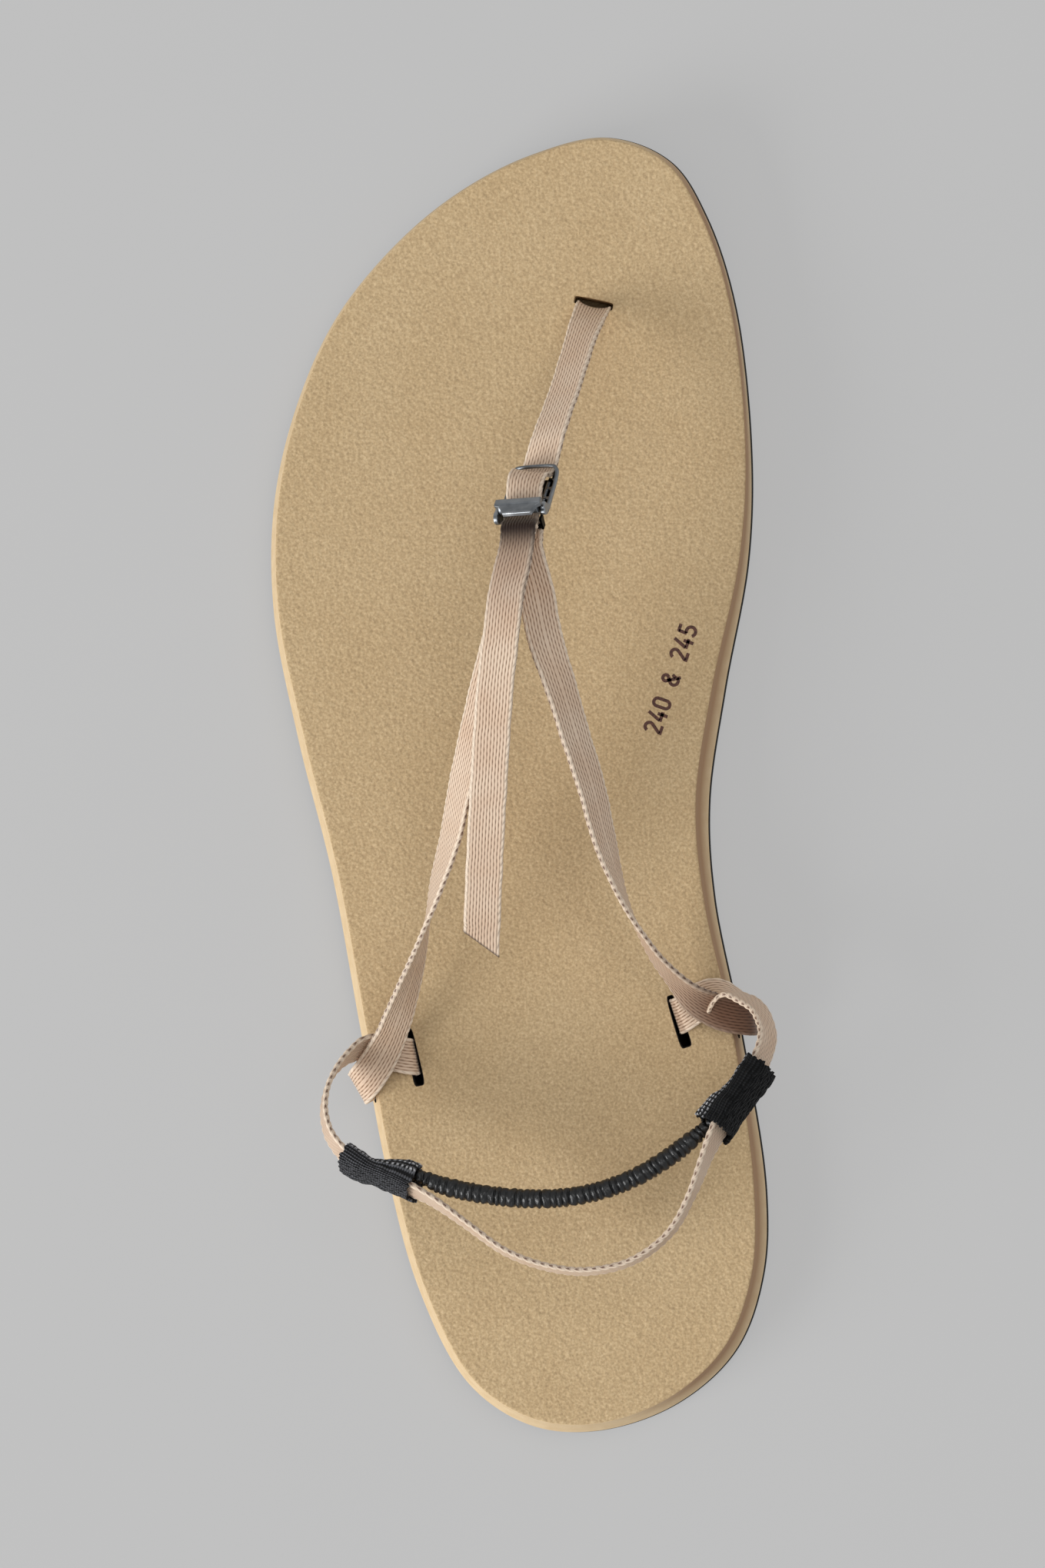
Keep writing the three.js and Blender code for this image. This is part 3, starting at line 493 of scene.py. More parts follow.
def footbed_foam():
    """Closed-cell EVA foam with a fine moulded leather grain: matt, soft speckle about 0.5 mm
    across, and a faint slow mottling."""
    material, tree = new_material("footbed_eva_foam")
    place = place_in_mm(tree)
    speckle = add(tree, "TexNoise", {"Vector": place, "Scale": 1.9, "Roughness": 0.6})
    mottle = add(tree, "TexNoise", {"Vector": place, "Scale": 0.06})
    stops = [(0.25, "#AF9571"), (0.5, "#C5AB83"), (0.75, "#DAC199")]
    tan = add(tree, "ValToRGB", {"Fac": speckle}, stops)
    cloud = add(tree, "ValToRGB", {"Fac": mottle}, [(0.3, "#FAF8F5"), (0.7, "#FFFFFF")])
    base = add(tree, "Mix", {SHARE: 1.0, UNDER: tan, OVER: cloud}, **TINTED)
    cells = {"Vector": place, "Scale": 1.1, "Randomness": 1.0}
    grain = add(tree, "TexVoronoi", cells, feature="SMOOTH_F1")
    normal = add(tree, "Bump", {"Height": grain, "Distance": 0.17 * MM})
    normal = add(tree, "Bump", {"Height": speckle, "Distance": 0.09 * MM, "Normal": normal})
    rough = add(tree, "MapRange", {"Value": speckle, "To Min": 0.72, "To Max": 0.9})
    surface = {
        "Base Color": base, "Normal": normal, "Roughness": rough, "Specular IOR Level": 0.35,
    }
    add(tree, "OutputMaterial", {"Surface": add(tree, "BsdfPrincipled", surface)})
    return material


def wall_foam():
    """The same foam where it was cut: smooth and pale, with a faint wavering from the blade. It
    is painted browner along the big toe side for the shade on that hollow wall, above a pale lip
    at its foot."""
    material, tree = new_material("cut_eva_foam")
    place = place_in_mm(tree)
    slow = add(tree, "TexNoise", {"Vector": place, "Scale": 0.4})
    fine = add(tree, "TexNoise", {"Vector": place, "Scale": 2.0})
    pale = add(tree, "ValToRGB", {"Fac": slow}, [(0.3, "#D6BA90"), (0.7, "#DFC59D")])
    x, _, z = add(tree, "SeparateXYZ", {0: place}).outputs
    # Painted shade: the big toe side's wall is browner above its foot.
    medial = add(tree, "MapRange", {"Value": x, "From Min": 22, "From Max": 36})
    above = add(tree, "MapRange", {"Value": z, "From Min": 2.4, "From Max": 7.0})
    medial_shade = add(tree, "Math", {0: medial, 1: above}, operation="MULTIPLY")
    base = add(tree, "Mix", {SHARE: medial_shade, UNDER: pale, OVER: colour("#AB8560")}, **LAID)
    normal = add(tree, "Bump", {"Height": fine, "Distance": 0.02 * MM})
    surface = {"Base Color": base, "Normal": normal, "Roughness": 0.75}
    add(tree, "OutputMaterial", {"Surface": add(tree, "BsdfPrincipled", surface)})
    return material


def slot_wall():
    """The cut inside of a slot: near-black foam, matt, a painted shade for the deep slot."""
    material, tree = new_material("slot_shade_foam")
    slot_noise = add(tree, "TexNoise", {"Vector": place_in_mm(tree), "Scale": 1.5})
    base = add(tree, "ValToRGB", {"Fac": slot_noise}, [(0.3, "#1A1512"), (0.7, "#33291F")])
    surface = {"Base Color": base, "Roughness": 0.95}
    add(tree, "OutputMaterial", {"Surface": add(tree, "BsdfPrincipled", surface)})
    return material


def outsole_rubber():
    """Moulded black rubber: matt, with the fine sparkle of a bead-blasted mould."""
    material, tree = new_material("outsole_moulded_rubber")
    fine = add(tree, "TexNoise", {"Vector": place_in_mm(tree), "Scale": 3.0, "Detail": 3.0})
    base = add(tree, "ValToRGB", {"Fac": fine}, [(0.3, "#141312"), (0.7, "#242221")])
    normal = add(tree, "Bump", {"Height": fine, "Distance": 0.05 * MM})
    surface = {"Base Color": base, "Normal": normal, "Roughness": 0.72}
    add(tree, "OutputMaterial", {"Surface": add(tree, "BsdfPrincipled", surface)})
    return material


def woven_tape():
    """Polyester tape from a needle loom: satin warp ribs 0.61 mm apart, with dark ticks between
    them where the weft dives, a corded edge painted paler as a highlight on its cords with painted
    shade in the gaps between its strands, painted shade on stretches that face away from the lamp,
    and a dark band by the buckle that is painted shadow of the lever with some dirt. A rib is the
    sine of its phase across, and a tick the cosine of its phase along, which starts half a turn
    later on each next rib."""
    material, tree = new_material("woven_polyester_tape")
    uv = add(tree, "UVMap", uv_map="UVMap")
    u, v, _ = add(tree, "SeparateXYZ", {0: uv}).outputs
    across = add(tree, "Math", {0: u, 1: TAPE_RIB}, operation="DIVIDE")
    share = add(tree, "Math", {0: across}, operation="FRACT")
    turn = add(tree, "Math", {0: share, 1: math.pi}, operation="MULTIPLY")
    rib = add(tree, "Math", {0: turn}, operation="SINE")
    dip = add(tree, "Math", {0: 1.0, 1: rib}, operation="SUBTRACT")
    gap = add(tree, "Math", {0: dip, 1: 1.3}, operation="POWER")
    line = add(tree, "Math", {0: across}, operation="ROUND")
    start = add(tree, "Math", {0: line, 1: math.pi}, operation="MULTIPLY")
    phase = add(tree, "Math", {0: v, 1: 2 * math.pi / TAPE_TICK, 2: start}, operation="MULTIPLY_ADD")
    tick = add(tree, "Math", {0: phase}, operation="COSINE")
    depth = add(tree, "Math", {0: tick, 1: 0.21, 2: 0.79}, operation="MULTIPLY_ADD")
    dark = add(tree, "Math", {0: gap, 1: depth}, operation="MULTIPLY")
    weave = add(tree, "Math", {0: 1.0, 1: dark}, operation="SUBTRACT")
    stops = [(0.1, "#866651"), (0.55, "#CEB197"), (0.95, "#E9D2BA")]
    face = add(tree, "ValToRGB", {"Fac": weave}, stops)
    slow = add(tree, "TexNoise", {"Vector": place_in_mm(tree), "Scale": 0.15})
    tint = add(tree, "ValToRGB", {"Fac": slow}, [(0.3, "#F4ECE6"), (0.7, "#FFFFFF")])
    base = add(tree, "Mix", {SHARE: 1.0, UNDER: face, OVER: tint}, **TINTED)
    # Layers over the weave: the braid's paler edge, a painted highlight; painted shade in the braid's
    # gaps; painted shade on stretches; painted shadow of the lever with some dirt; and the darker melted
    # cut end.
    layers = [
        ("braid", "#F0DCC5", LAID), ("hole_shade", "#5B3726", LAID), ("shade", "#6A4732", TINTED),
        ("soil", "#261309", LAID), ("sealed", "#4B3A30", LAID),
    ]
    for name, code, way in layers:
        share = add(tree, "Attribute", attribute_name=name).outputs["Fac"]
        base = add(tree, "Mix", {SHARE: share, UNDER: base, OVER: colour(code)}, **way)
    braid = add(tree, "Attribute", attribute_name="braid").outputs["Fac"]
    plain = add(tree, "Math", {0: 1.0, 1: braid}, operation="SUBTRACT")
    height = add(tree, "Math", {0: weave, 1: plain}, operation="MULTIPLY")
    normal = add(tree, "Bump", {"Height": height, "Distance": 0.14 * MM})
    surface = {
        "Base Color": base, "Normal": normal, "Roughness": 0.52, "Sheen Weight": 0.2,
        "Sheen Roughness": 0.4, "Sheen Tint": colour("#FFEFDD"), "Specular IOR Level": 0.4,
    }
    add(tree, "OutputMaterial", {"Surface": add(tree, "BsdfPrincipled", surface)})
    return material


def black_ribbon():
    """Black polyester grosgrain: fine ribs along the ribbon, pale needle marks on the sewn line,
    and a paler grey on the rib tops, partly settled dirt and partly painted sheen where a tab
    faces the lamp. The weave is a sine across plus half a sine along."""
    material, tree = new_material("black_grosgrain_ribbon")
    uv = add(tree, "UVMap", uv_map="UVMap")
    u, v, _ = add(tree, "SeparateXYZ", {0: uv}).outputs
    turn = add(tree, "Math", {0: u, 1: 2 * math.pi / RIBBON_RIB}, operation="MULTIPLY")
    rib = add(tree, "Math", {0: turn}, operation="SINE")
    turn = add(tree, "Math", {0: v, 1: 2 * math.pi / RIBBON_PICK}, operation="MULTIPLY")
    pick = add(tree, "Math", {0: turn}, operation="SINE")
    weave = add(tree, "Math", {0: pick, 1: 0.5, 2: rib}, operation="MULTIPLY_ADD")
    black = add(tree, "ValToRGB", {"Fac": weave}, [(0.0, "#060607"), (1.0, "#1C1D1F")])
    pale = add(tree, "ValToRGB", {"Fac": weave}, [(0.0, "#1E1E20"), (1.0, "#6A6B70")])
    # Paler grey on the rib tops: partly dust, partly painted sheen where the tab faces the key lamp.
    dust_and_sheen = add(tree, "Attribute", attribute_name="dust_and_sheen").outputs["Fac"]
    base = add(tree, "Mix", {SHARE: dust_and_sheen, UNDER: black, OVER: pale}, **LAID)
    stitch = add(tree, "Attribute", attribute_name="stitch").outputs["Fac"]
    base = add(tree, "Mix", {SHARE: stitch, UNDER: base, OVER: colour("#C4C5C9")}, **LAID)
    normal = add(tree, "Bump", {"Height": weave, "Distance": 0.06 * MM})
    surface = {
        "Base Color": base, "Normal": normal, "Roughness": 0.75, "Sheen Weight": 0.05,
        "Specular IOR Level": 0.15,
    }
    add(tree, "OutputMaterial", {"Surface": add(tree, "BsdfPrincipled", surface)})
    return material


def gathered_cloth():
    """Black coated cloth gathered over an elastic cord: soft gloss on the pleats."""
    material, tree = new_material("black_gathered_cloth")
    fine = add(tree, "TexNoise", {"Vector": place_in_mm(tree), "Scale": 2.2, "Detail": 3.0})
    base = add(tree, "ValToRGB", {"Fac": fine}, [(0.3, "#0A0B0C"), (0.7, "#141517")])
    normal = add(tree, "Bump", {"Height": fine, "Distance": 0.08 * MM})
    surface = {
        "Base Color": base, "Normal": normal, "Roughness": 0.36, "Specular IOR Level": 0.6,
    }
    add(tree, "OutputMaterial", {"Surface": add(tree, "BsdfPrincipled", surface)})
    return material


def gunmetal():
    """Die-cast zinc with a dark nickel plate: fine tumbled scratches, brighter where wear has
    polished it, and painted black deep inside the frame for the shade there, where the value is
    below nought."""
    material, tree = new_material("dark_nickel_plate")
    place = place_in_mm(tree)
    patch = add(tree, "TexNoise", {"Vector": place, "Scale": 0.5, "Detail": 3.0})
    scratch = add(tree, "TexNoise", {"Vector": place, "Scale": 4.0, "Detail": 4.0})
    plate = add(tree, "ValToRGB", {"Fac": patch}, [(0.3, "#74787C"), (0.7, "#92969A")])
    wear_and_painted_light = add(tree, "Attribute", attribute_name="wear_and_painted_light").outputs["Fac"]
    # Below nought the value paints the metal black, a painted shade deep inside the frame.
    deep_shade = add(tree, "Math", {0: wear_and_painted_light, 1: -1.0}, operation="MULTIPLY", use_clamp=True)
    base = add(tree, "Mix", {SHARE: wear_and_painted_light, UNDER: plate, OVER: colour("#D0D3D6")}, **LAID)
    base = add(tree, "Mix", {SHARE: deep_shade, UNDER: base, OVER: colour("#060606")}, **LAID)
    normal = add(tree, "Bump", {"Height": scratch, "Distance": 0.012 * MM})
    rough = add(tree, "MapRange", {"Value": patch, "To Min": 0.3, "To Max": 0.48})
    surface = {"Base Color": base, "Normal": normal, "Roughness": rough, "Metallic": 1.0}
    add(tree, "OutputMaterial", {"Surface": add(tree, "BsdfPrincipled", surface)})
    return material


def print_ink():
    """Brown screen ink, slightly eaten by the grain under it."""
    material, tree = new_material("brown_screen_ink")
    eaten = add(tree, "TexNoise", {"Vector": place_in_mm(tree), "Scale": 2.5})
    base = add(tree, "ValToRGB", {"Fac": eaten}, [(0.35, "#3F241C"), (0.7, "#664034")])
    surface = {"Base Color": base, "Roughness": 0.7}
    add(tree, "OutputMaterial", {"Surface": add(tree, "BsdfPrincipled", surface)})
    return material


def paper_floor():
    """Pale grey studio paper on a light table. Its own glow keeps the shadows on it faint."""
    material, tree = new_material("pale_studio_paper")
    slow = add(tree, "TexNoise", {"Vector": place_in_mm(tree), "Scale": 0.02})
    base = add(tree, "ValToRGB", {"Fac": slow}, [(0.3, "#6E6E6E"), (0.7, "#6F6F6F")])
    surface = {
        "Base Color": base, "Roughness": 0.95, "Specular IOR Level": 0.1,
        "Emission Color": colour("#FFFFFF"), "Emission Strength": 0.378,
    }
    add(tree, "OutputMaterial", {"Surface": add(tree, "BsdfPrincipled", surface)})
    return material


# Sole

LOOP_ROWS = 260
LOOP_COLUMNS = 92


def spring_lift(y):
    """Toe spring: the square of the share of the way from its start to the toe."""
    return TOE_SPRING * np.maximum(0, (y - SPRING_START) / (SPRING_END - SPRING_START)) ** 2


def outline_loop():
    """The footbed's edge as four sides with even steps: x, y, flare and the outward normal."""
    dense = 60
    curve = cubic(OUTLINE, dense, closed=True)
    a, b, c, d = (row * dense for row in CORNER_ROWS)
    last = np.vstack([curve[d:], curve[: a + 1]])
    sides = [curve[a : b + 1], curve[b : c + 1], curve[c : d + 1], last]
    counts = [LOOP_ROWS, LOOP_COLUMNS, LOOP_ROWS, LOOP_COLUMNS]
    loop = np.vstack([evenly(s, n + 1, columns=2)[1][:-1] for s, n in zip(sides, counts)])
    forward = unit(np.roll(loop[:, :2], -1, axis=0) - np.roll(loop[:, :2], 1, axis=0))
    return np.hstack([loop, np.stack([forward[:, 1], -forward[:, 0]], 1)])


LOOP = outline_loop()


def ring_at(out_share, out_extra, height):
    """The outline moved out along its normal by a share of the flare plus a fixed amount."""
    out = (LOOP[:, 2] * out_share + out_extra)[:, None]
    xy = LOOP[:, :2] + LOOP[:, 3:] * out
    return np.hstack([xy, (height + spring_lift(xy[:, 1]))[:, None]])


def patch_in(ring):
    """A grid that fills a ring: each point is the sum of the blends between opposite sides, less
    the blend of the four corners, and its height follows the toe spring."""
    r, c = LOOP_ROWS, LOOP_COLUMNS
    closed = np.vstack([ring, ring[:1]])
    left, low = closed[: r + 1], closed[r : r + c + 1]
    right, high = closed[r + c : 2 * r + c + 1][::-1], closed[2 * r + c :][::-1]
    v = np.linspace(0, 1, r + 1)[:, None, None]
    u = np.linspace(0, 1, c + 1)[None, :, None]
    across = (1 - u) * left[:, None] + u * right[:, None]
    down = (1 - v) * high[None] + v * low[None]
    corners = (1 - u) * ((1 - v) * high[0] + v * low[0]) + u * ((1 - v) * high[-1] + v * low[-1])
    grid = across + down - corners
    grid[..., 2] = ring[0, 2] - spring_lift(ring[0, 1]) + spring_lift(grid[..., 1])
    quads, _, _ = grid_quads(r + 1, c + 1)
    uv = grid[..., :2].reshape(-1, 2)[quads]
    return {"points": grid.reshape(-1, 3), "quads": quads, "uv": uv, "caps": [], "values": {}}


def slab(levels):
    """A closed sole layer from levels of (out share, out extra, height), top first: a filled top,
    the wall down through the levels, and a filled underside."""
    rings = np.stack([ring_at(*level) for level in levels])
    around = length_along(np.vstack([rings[0], rings[0][:1]]))
    down = np.array([level[2] for level in levels])
    wall = tube_shell(rings, down, around, ends=False)
    return joined_shells([patch_in(rings[0]), wall, patch_in(rings[-1])])


def slot_ring(x, y, length, bearing, narrow, wide, height):
    """A level ring with rounded corners, which widens from the narrow width at its first end to
    the wide one at its far end. Each half is a superellipse of power 0.35."""
    turn = full_turn(64)
    c, s = np.cos(turn), np.sin(turn)
    along = length / 2 * np.sign(c) * np.abs(c) ** 0.35
    share = (along + length / 2) / length
    half = (narrow + (wide - narrow) * share**0.7) / 2
    flat = np.stack([along, half * np.sign(s) * np.abs(s) ** 0.35], 1)
    turned = flat @ flat_turn(math.radians(bearing))
    return np.hstack([turned + (x, y), np.full((len(flat), 1), height)])


def slot_cutter(slot, levels):
    """A closed prism along a slot from levels of (growth, height)."""
    x, y, length, bearing, narrow, wide = slot
    rings = np.stack([
        slot_ring(x, y, length + g, bearing, narrow + g, wide + g, h) for g, h in levels
    ])
    return plain_tube(rings)


def channel_cutter(ends):
    """A flat box along a channel's middle line, with its four long edges cut."""
    start, end = np.array(ends, float)
    forward = unit(end - start)
    side = np.array([-forward[1], forward[0]])
    w, t, c = CHANNEL["wide"] / 2, CHANNEL["tall"] / 2, 0.5
    section = [
        (w, t - c), (w - c, t), (c - w, t), (-w, t - c), (-w, c - t), (c - w, -t), (w - c, -t), (w, c - t),
    ]
    rings = np.array([
        [(*(place + side * a), CHANNEL["middle"] + n) for a, n in section] for place in (start, end)
    ])
    return plain_tube(rings)


def cut(piece, shells, material):
    """Cuts closed shells out of a piece. The cut faces take the given material."""
    for number, shell in enumerate(shells):
        cutter = piece_from(f"cutter_{number}", shell, [material])
        modifier = piece.modifiers.new("cut", "BOOLEAN")
        modifier.operation = "DIFFERENCE"
        modifier.solver = "MANIFOLD"
        modifier.object = cutter
        settle(piece)
        bpy.data.objects.remove(cutter)


def make_midsole(foam, cut_foam, dark):
    """Foam slab: rounded top edge, hollow wall that flares at its foot, slots with soft lips."""
    turn = np.radians(np.linspace(0, 90, 5))
    edge = [
        (0.0, EDGE_RADIUS * (math.sin(t) - 1), SOLE_TOP - EDGE_RADIUS * (1 - math.cos(t))) for t in turn
    ]
    foot = 0.3
    height = SOLE_TOP - EDGE_RADIUS - SOLE_FOOT - foot
    shares = np.linspace(0.12, 1, 9)
    wall = [(share**1.7, 0.0, SOLE_TOP - EDGE_RADIUS - height * share) for share in shares]
    under = [(1.0, -0.1, SOLE_FOOT + 0.08), (1.0, -foot, SOLE_FOOT)]
    shell = slab(edge + wall + under)
    piece = piece_from("footbed", shell, [foam, cut_foam])
    top_faces = LOOP_ROWS * LOOP_COLUMNS
    part = np.zeros(len(piece.data.polygons), np.int32)
    part[top_faces + 2 * len(LOOP) : len(part) - top_faces] = 1
    piece.data.polygons.foreach_set("material_index", part)
    weld(piece, 0.001)
    lip_turn = np.radians(np.linspace(0, 90, 4))
    cutters = []
    for slot in SLOTS:
        top = SOLE_TOP + spring_lift(slot[1])
        mouth = [
            (2 * SLOT_LIP * (1 - math.sin(t)), top - SLOT_LIP * (1 - math.cos(t))) for t in lip_turn
        ]
        cutters.append(slot_cutter(slot, [(2 * SLOT_LIP, top + 4), *mouth, (0, SLOT_FLOOR)]))
    pocket = [(POCKET["growth"], POCKET["top"]), (POCKET["growth"], SLOT_FLOOR)]
    cutters += [slot_cutter(slot, pocket) for slot in SLOTS[1:]]
    cutters += [channel_cutter(ends) for ends in CHANNELS]
    cut(piece, cutters, dark)
    shade(piece.data, SOLE_SHARP)
    return piece


def inside_outline(x, y, margin):
    """Whether points lie inside the outline, and at least a margin from it."""
    a = LOOP[:, :2]
    b = np.roll(a, -1, axis=0)
    crosses = (a[:, 1] > y[:, None]) != (b[:, 1] > y[:, None])
    with np.errstate(divide="ignore", invalid="ignore"):
        at = a[:, 0] + (y[:, None] - a[:, 1]) / (b[:, 1] - a[:, 1]) * (b[:, 0] - a[:, 0])
    inside = (crosses & (x[:, None] < at)).sum(1) % 2 == 1
    far = np.hypot(x[:, None] - a[:, 0], y[:, None] - a[:, 1]).min(1) > margin
    return inside & far


def tread_lugs():
    """Hexagonal lugs on a triangular grid: each a six-sided stud that narrows to its foot."""
    pitch, across_flats = 6.4, 5.0
    row = pitch * math.sqrt(3) / 2
    i, j = np.meshgrid(np.arange(-16, 17), np.arange(-26, 27), indexing="ij")
    x = (i + 0.5 * (j % 2)).ravel() * pitch
    y = j.ravel() * row
    keep = inside_outline(x, y, RIM_WIDTH + across_flats / 2 + 0.2)
    x, y = x[keep], y[keep]
    radius = across_flats / math.sqrt(3)
    sides = 6
    turn = np.radians(30 + 60 * np.arange(sides))
    levels = [(1.0, TREAD_DEPTH + 0.1), (0.96, 0.2), (0.9, 0.0)]
    studs = []
    for share, height in levels:
        px = x[:, None] + radius * share * np.cos(turn)
        py = y[:, None] + radius * share * np.sin(turn)
        studs.append(np.stack([px, py, height + spring_lift(py)], -1))
    points = np.stack(studs, 1)
    quads, _, _ = grid_quads(len(levels), sides, closed_columns=True)
    starts = np.arange(len(x)) * sides * len(levels)
    all_quads = (starts[:, None, None] + quads).reshape(-1, 4)
    foot = [list(range(s + 2 * sides, s + 3 * sides)) for s in starts]
    head = [list(range(s, s + sides)) for s in starts]
    flat = points.reshape(-1, 3)
    uv = flat[:, :2][all_quads]
    return {"points": flat, "quads": all_quads, "uv": uv, "caps": foot + head, "values": {}}


def make_outsole(rubber):
    """Thin rubber sheet, a little proud of the foam, with a rim and lugs on its underside."""
    proud = SHEET_PROUD["middle"] + SHEET_PROUD["medial"] * LOOP[:, 3]
    levels = [
        (1.0, proud - 0.3, SHEET_TOP), (1.0, proud - 0.1, SHEET_TOP - 0.06),
        (1.0, proud, SHEET_TOP - 0.25), (1.0, proud, 0.35), (1.0, proud - 0.1, 0.1),
        (1.0, proud - 0.35, 0.0), (1.0, proud - RIM_WIDTH, 0.0),
        (1.0, proud - RIM_WIDTH - 0.3, TREAD_DEPTH),
    ]
    sheet = slab(levels)
    piece = piece_from("rubber_outsole", joined_shells([sheet, tread_lugs()]), [rubber])
    weld(piece, 0.001)
    shade(piece.data, SOLE_SHARP)
    return piece


# Size print

STROKE = 0.66
GLYPH_SCALE = 1.07
PRINT = {"text": "240 & 245", "pitch": 2.6, "middle": (30.4, 21.6), "bearing": 70.5}


def arc(cx, cy, radius, start, end, count=14):
    """Points round part of a circle, from one bearing to another."""
    turn = np.radians(np.linspace(start, end, count))
    return np.stack([cx + radius * np.cos(turn), cy + radius * np.sin(turn)], 1)


def glyphs():
    """Stroke paths of each plain character, in a cell 2.1 wide and 3.75 high."""
    high, low, right = 3.44, 0.31, 1.8
    nought = np.vstack([arc(1.05, 2.69, 0.75, 0, 180), arc(1.05, 1.06, 0.75, 180, 360), [(right, 2.69)]])
    two = np.vstack([arc(1.05, 2.66, 0.77, 165, -38), [(0.42, 0.48)]])
    bowl = arc(1.02, 1.2, 0.88, 128, -150, 20)
    return {
        "0": [nought],
        "2": [two, [(0.2, low), (1.9, low)]],
        "4": [[(1.3, 3.7), (0.3, 1.2)], [(0.12, 1.08), (1.98, 1.08)], [(1.45, 1.95), (1.45, 0.02)]],
        "5": [[(0.35, high), (1.8, high)], [(0.52, high), (0.44, 1.85)], bowl],
        "&": [
            arc(0.98, 2.75, 0.58, -50, 310, 20), arc(0.95, 1.12, 0.8, 75, 330, 20),
            [(0.62, 2.35), (1.95, 0.1)], [(1.62, 1.0), (1.95, 1.75)],
        ],
    }


def stroke_shell(path, place, bearing):
    """A flat stroke swept along a path: a rectangle as wide as the pen and as thick as the ink."""
    path = np.asarray(path, float) * GLYPH_SCALE
    forward = unit(np.gradient(path, axis=0))
    side = np.stack([-forward[:, 1], forward[:, 0]], 1) * STROKE / 2
    left, right = ((path + s) @ flat_turn(bearing) + place for s in (side, -side))
    low, high = SOLE_TOP - 0.05, SOLE_TOP + 0.025
    corner = [(left, high), (right, high), (right, low), (left, low)]
    rings = np.stack([np.hstack([xy, np.full((len(xy), 1), z)]) for xy, z in corner], 1)
    return plain_tube(rings)


def make_size_print(ink):
    """The plain size numerals, read along the waist."""
    text, bearing = PRINT["text"], math.radians(PRINT["bearing"])
    shapes, shells = glyphs(), []
    reading, up = flat_turn(bearing)
    for number, letter in enumerate(text):
        offset = (number - len(text) / 2) * PRINT["pitch"] + 0.2
        place = np.array(PRINT["middle"]) + reading * offset - up * 2
        shells += [stroke_shell(path, place, bearing) for path in shapes.get(letter, [])]
    return piece_from("size_print", joined_shells(shells), [ink], sharp=30)


# Tapes

def tape_section(width, thickness):
    """Points round a tape with round edges, from the middle of the underside: across, through,
    outward normal, distance round, and distance from the nearer edge's middle line."""
    r = thickness / 2
    flat = width / 2 - r
    near = np.array([0.12, 0.28, 0.48, 0.72, 1.0, 1.35])
    half = np.concatenate([-(flat - near[:-1]), np.linspace(-(flat - near[-1]), 0, 4)])
    face = np.concatenate([half, -half[::-1][1:]])
    turn = np.radians(np.linspace(-90, 90, 11))
    right = np.stack([flat + r * np.cos(turn), r * np.sin(turn), np.cos(turn), np.sin(turn)], 1)
    top = np.stack([-face, np.full_like(face, r), 0 * face, 0 * face + 1], 1)
    ring = np.vstack([right, top, right * -1, top * -1])
    ring = np.roll(ring, -(len(right) + len(top) + len(right) + len(face) // 2), axis=0)
    closed = np.vstack([ring, ring[:1]])
    around = length_along(closed[:, :2])
    middle = around[-1] / 4
    from_edge = np.minimum(np.abs(around[:-1] - middle), np.abs(around[:-1] - 3 * middle))
    return ring, around - around[-1] / 2, from_edge


def tape_shell(rows, width, thickness, slant=0.0, seed=0.0, cup=0.0):
    """A woven tape along its rows. Each edge is two cords side by side: a height of the braid's
    size times the absolute cosine of a phase that runs along the edge and slants away from its
    middle line, faded out on the face. The last rings lean by the slant for the cut end. A cup
    bends the first rings, so that the tape's middle stands back from its edges."""
    along, middle, forward, across, through = tape_line(rows, TAPE["step"])
    ring, around, from_edge = tape_section(width, thickness)
    phase = along[:, None] / BRAID["pitch"] - from_edge[None, :] * BRAID["slant"]
    edge = np.sign(ring[:, 0])[None, :]
    strand = np.abs(np.cos(np.pi * (phase + 0.25 * edge)))
    fade = 1 - smooth_step(BRAID["reach"], BRAID["reach"] + BRAID["fade"], from_edge)[None, :]
    beat = smooth_step(0.3, 0.7, 0.5 + 0.5 * np.cos(2 * np.pi * (phase + 0.25 * edge)))
    seam = np.exp(-((from_edge / 0.25) ** 2))[None, :] * beat
    height = fade * (BRAID["height"] * (strand**0.7 - 0.4)) - 0.14 * seam
    # Painted shade in the gaps between the braid's strands and along the groove down its middle.
    hole_shade = np.clip(fade * (1 - strand) ** 3 * 0.45 + seam, 0, 1)
    wave = 0.07 * waver(along, seed, 9.0)[:, None] * edge
    a = ring[:, 0] + ring[:, 2] * height + wave
    n = ring[:, 1] + ring[:, 3] * height
    start = 1 - smooth_step(*CUPPED, along)[:, None]
    n = n + cup * start * (1 - (a / (width / 2)) ** 2)
    a = a * (1 - 0.06 * abs(cup) * start)
    lean = slant * smooth_step(along[-1] - 6, along[-1], along)[:, None] * a
    points = (
        middle[:, None]
        + across[:, None] * a[..., None]
        + through[:, None] * n[..., None]
        + forward[:, None] * lean[..., None]
    )
    shell = tube_shell(points, along, around)
    sealed = smooth_step(along[-1] - 0.5, along[-1] - 0.1, along)[:, None] * (1.0 if slant else 0.0)
    shell["values"] = {
        # The braid share also paints the corded edge paler: a painted highlight on its raised cords.
        "braid": (fade + 0 * along[:, None]).ravel(),
        "hole_shade": hole_shade.ravel(),
        "sealed": (sealed + 0 * from_edge).ravel(),
        "soil": np.zeros(len(shell["points"])),
        "shade": np.zeros(len(shell["points"])),
    }
    return shell


def add_painted_shade(shell, rows, start=0.0):
    """Adds painted shade: browner stretches past a share of the tape, each fading as a bell round
    its place."""
    count = len(shell["points"])
    past = np.arange(count) >= start * count
    for x, y, z, reach, depth in rows:
        away = np.linalg.norm(shell["points"] - (x, y, z), axis=1)
        shell["values"]["shade"] += past * depth * np.exp(-((away / reach) ** 2))
    shell["values"]["shade"] = np.minimum(shell["values"]["shade"], 0.9)


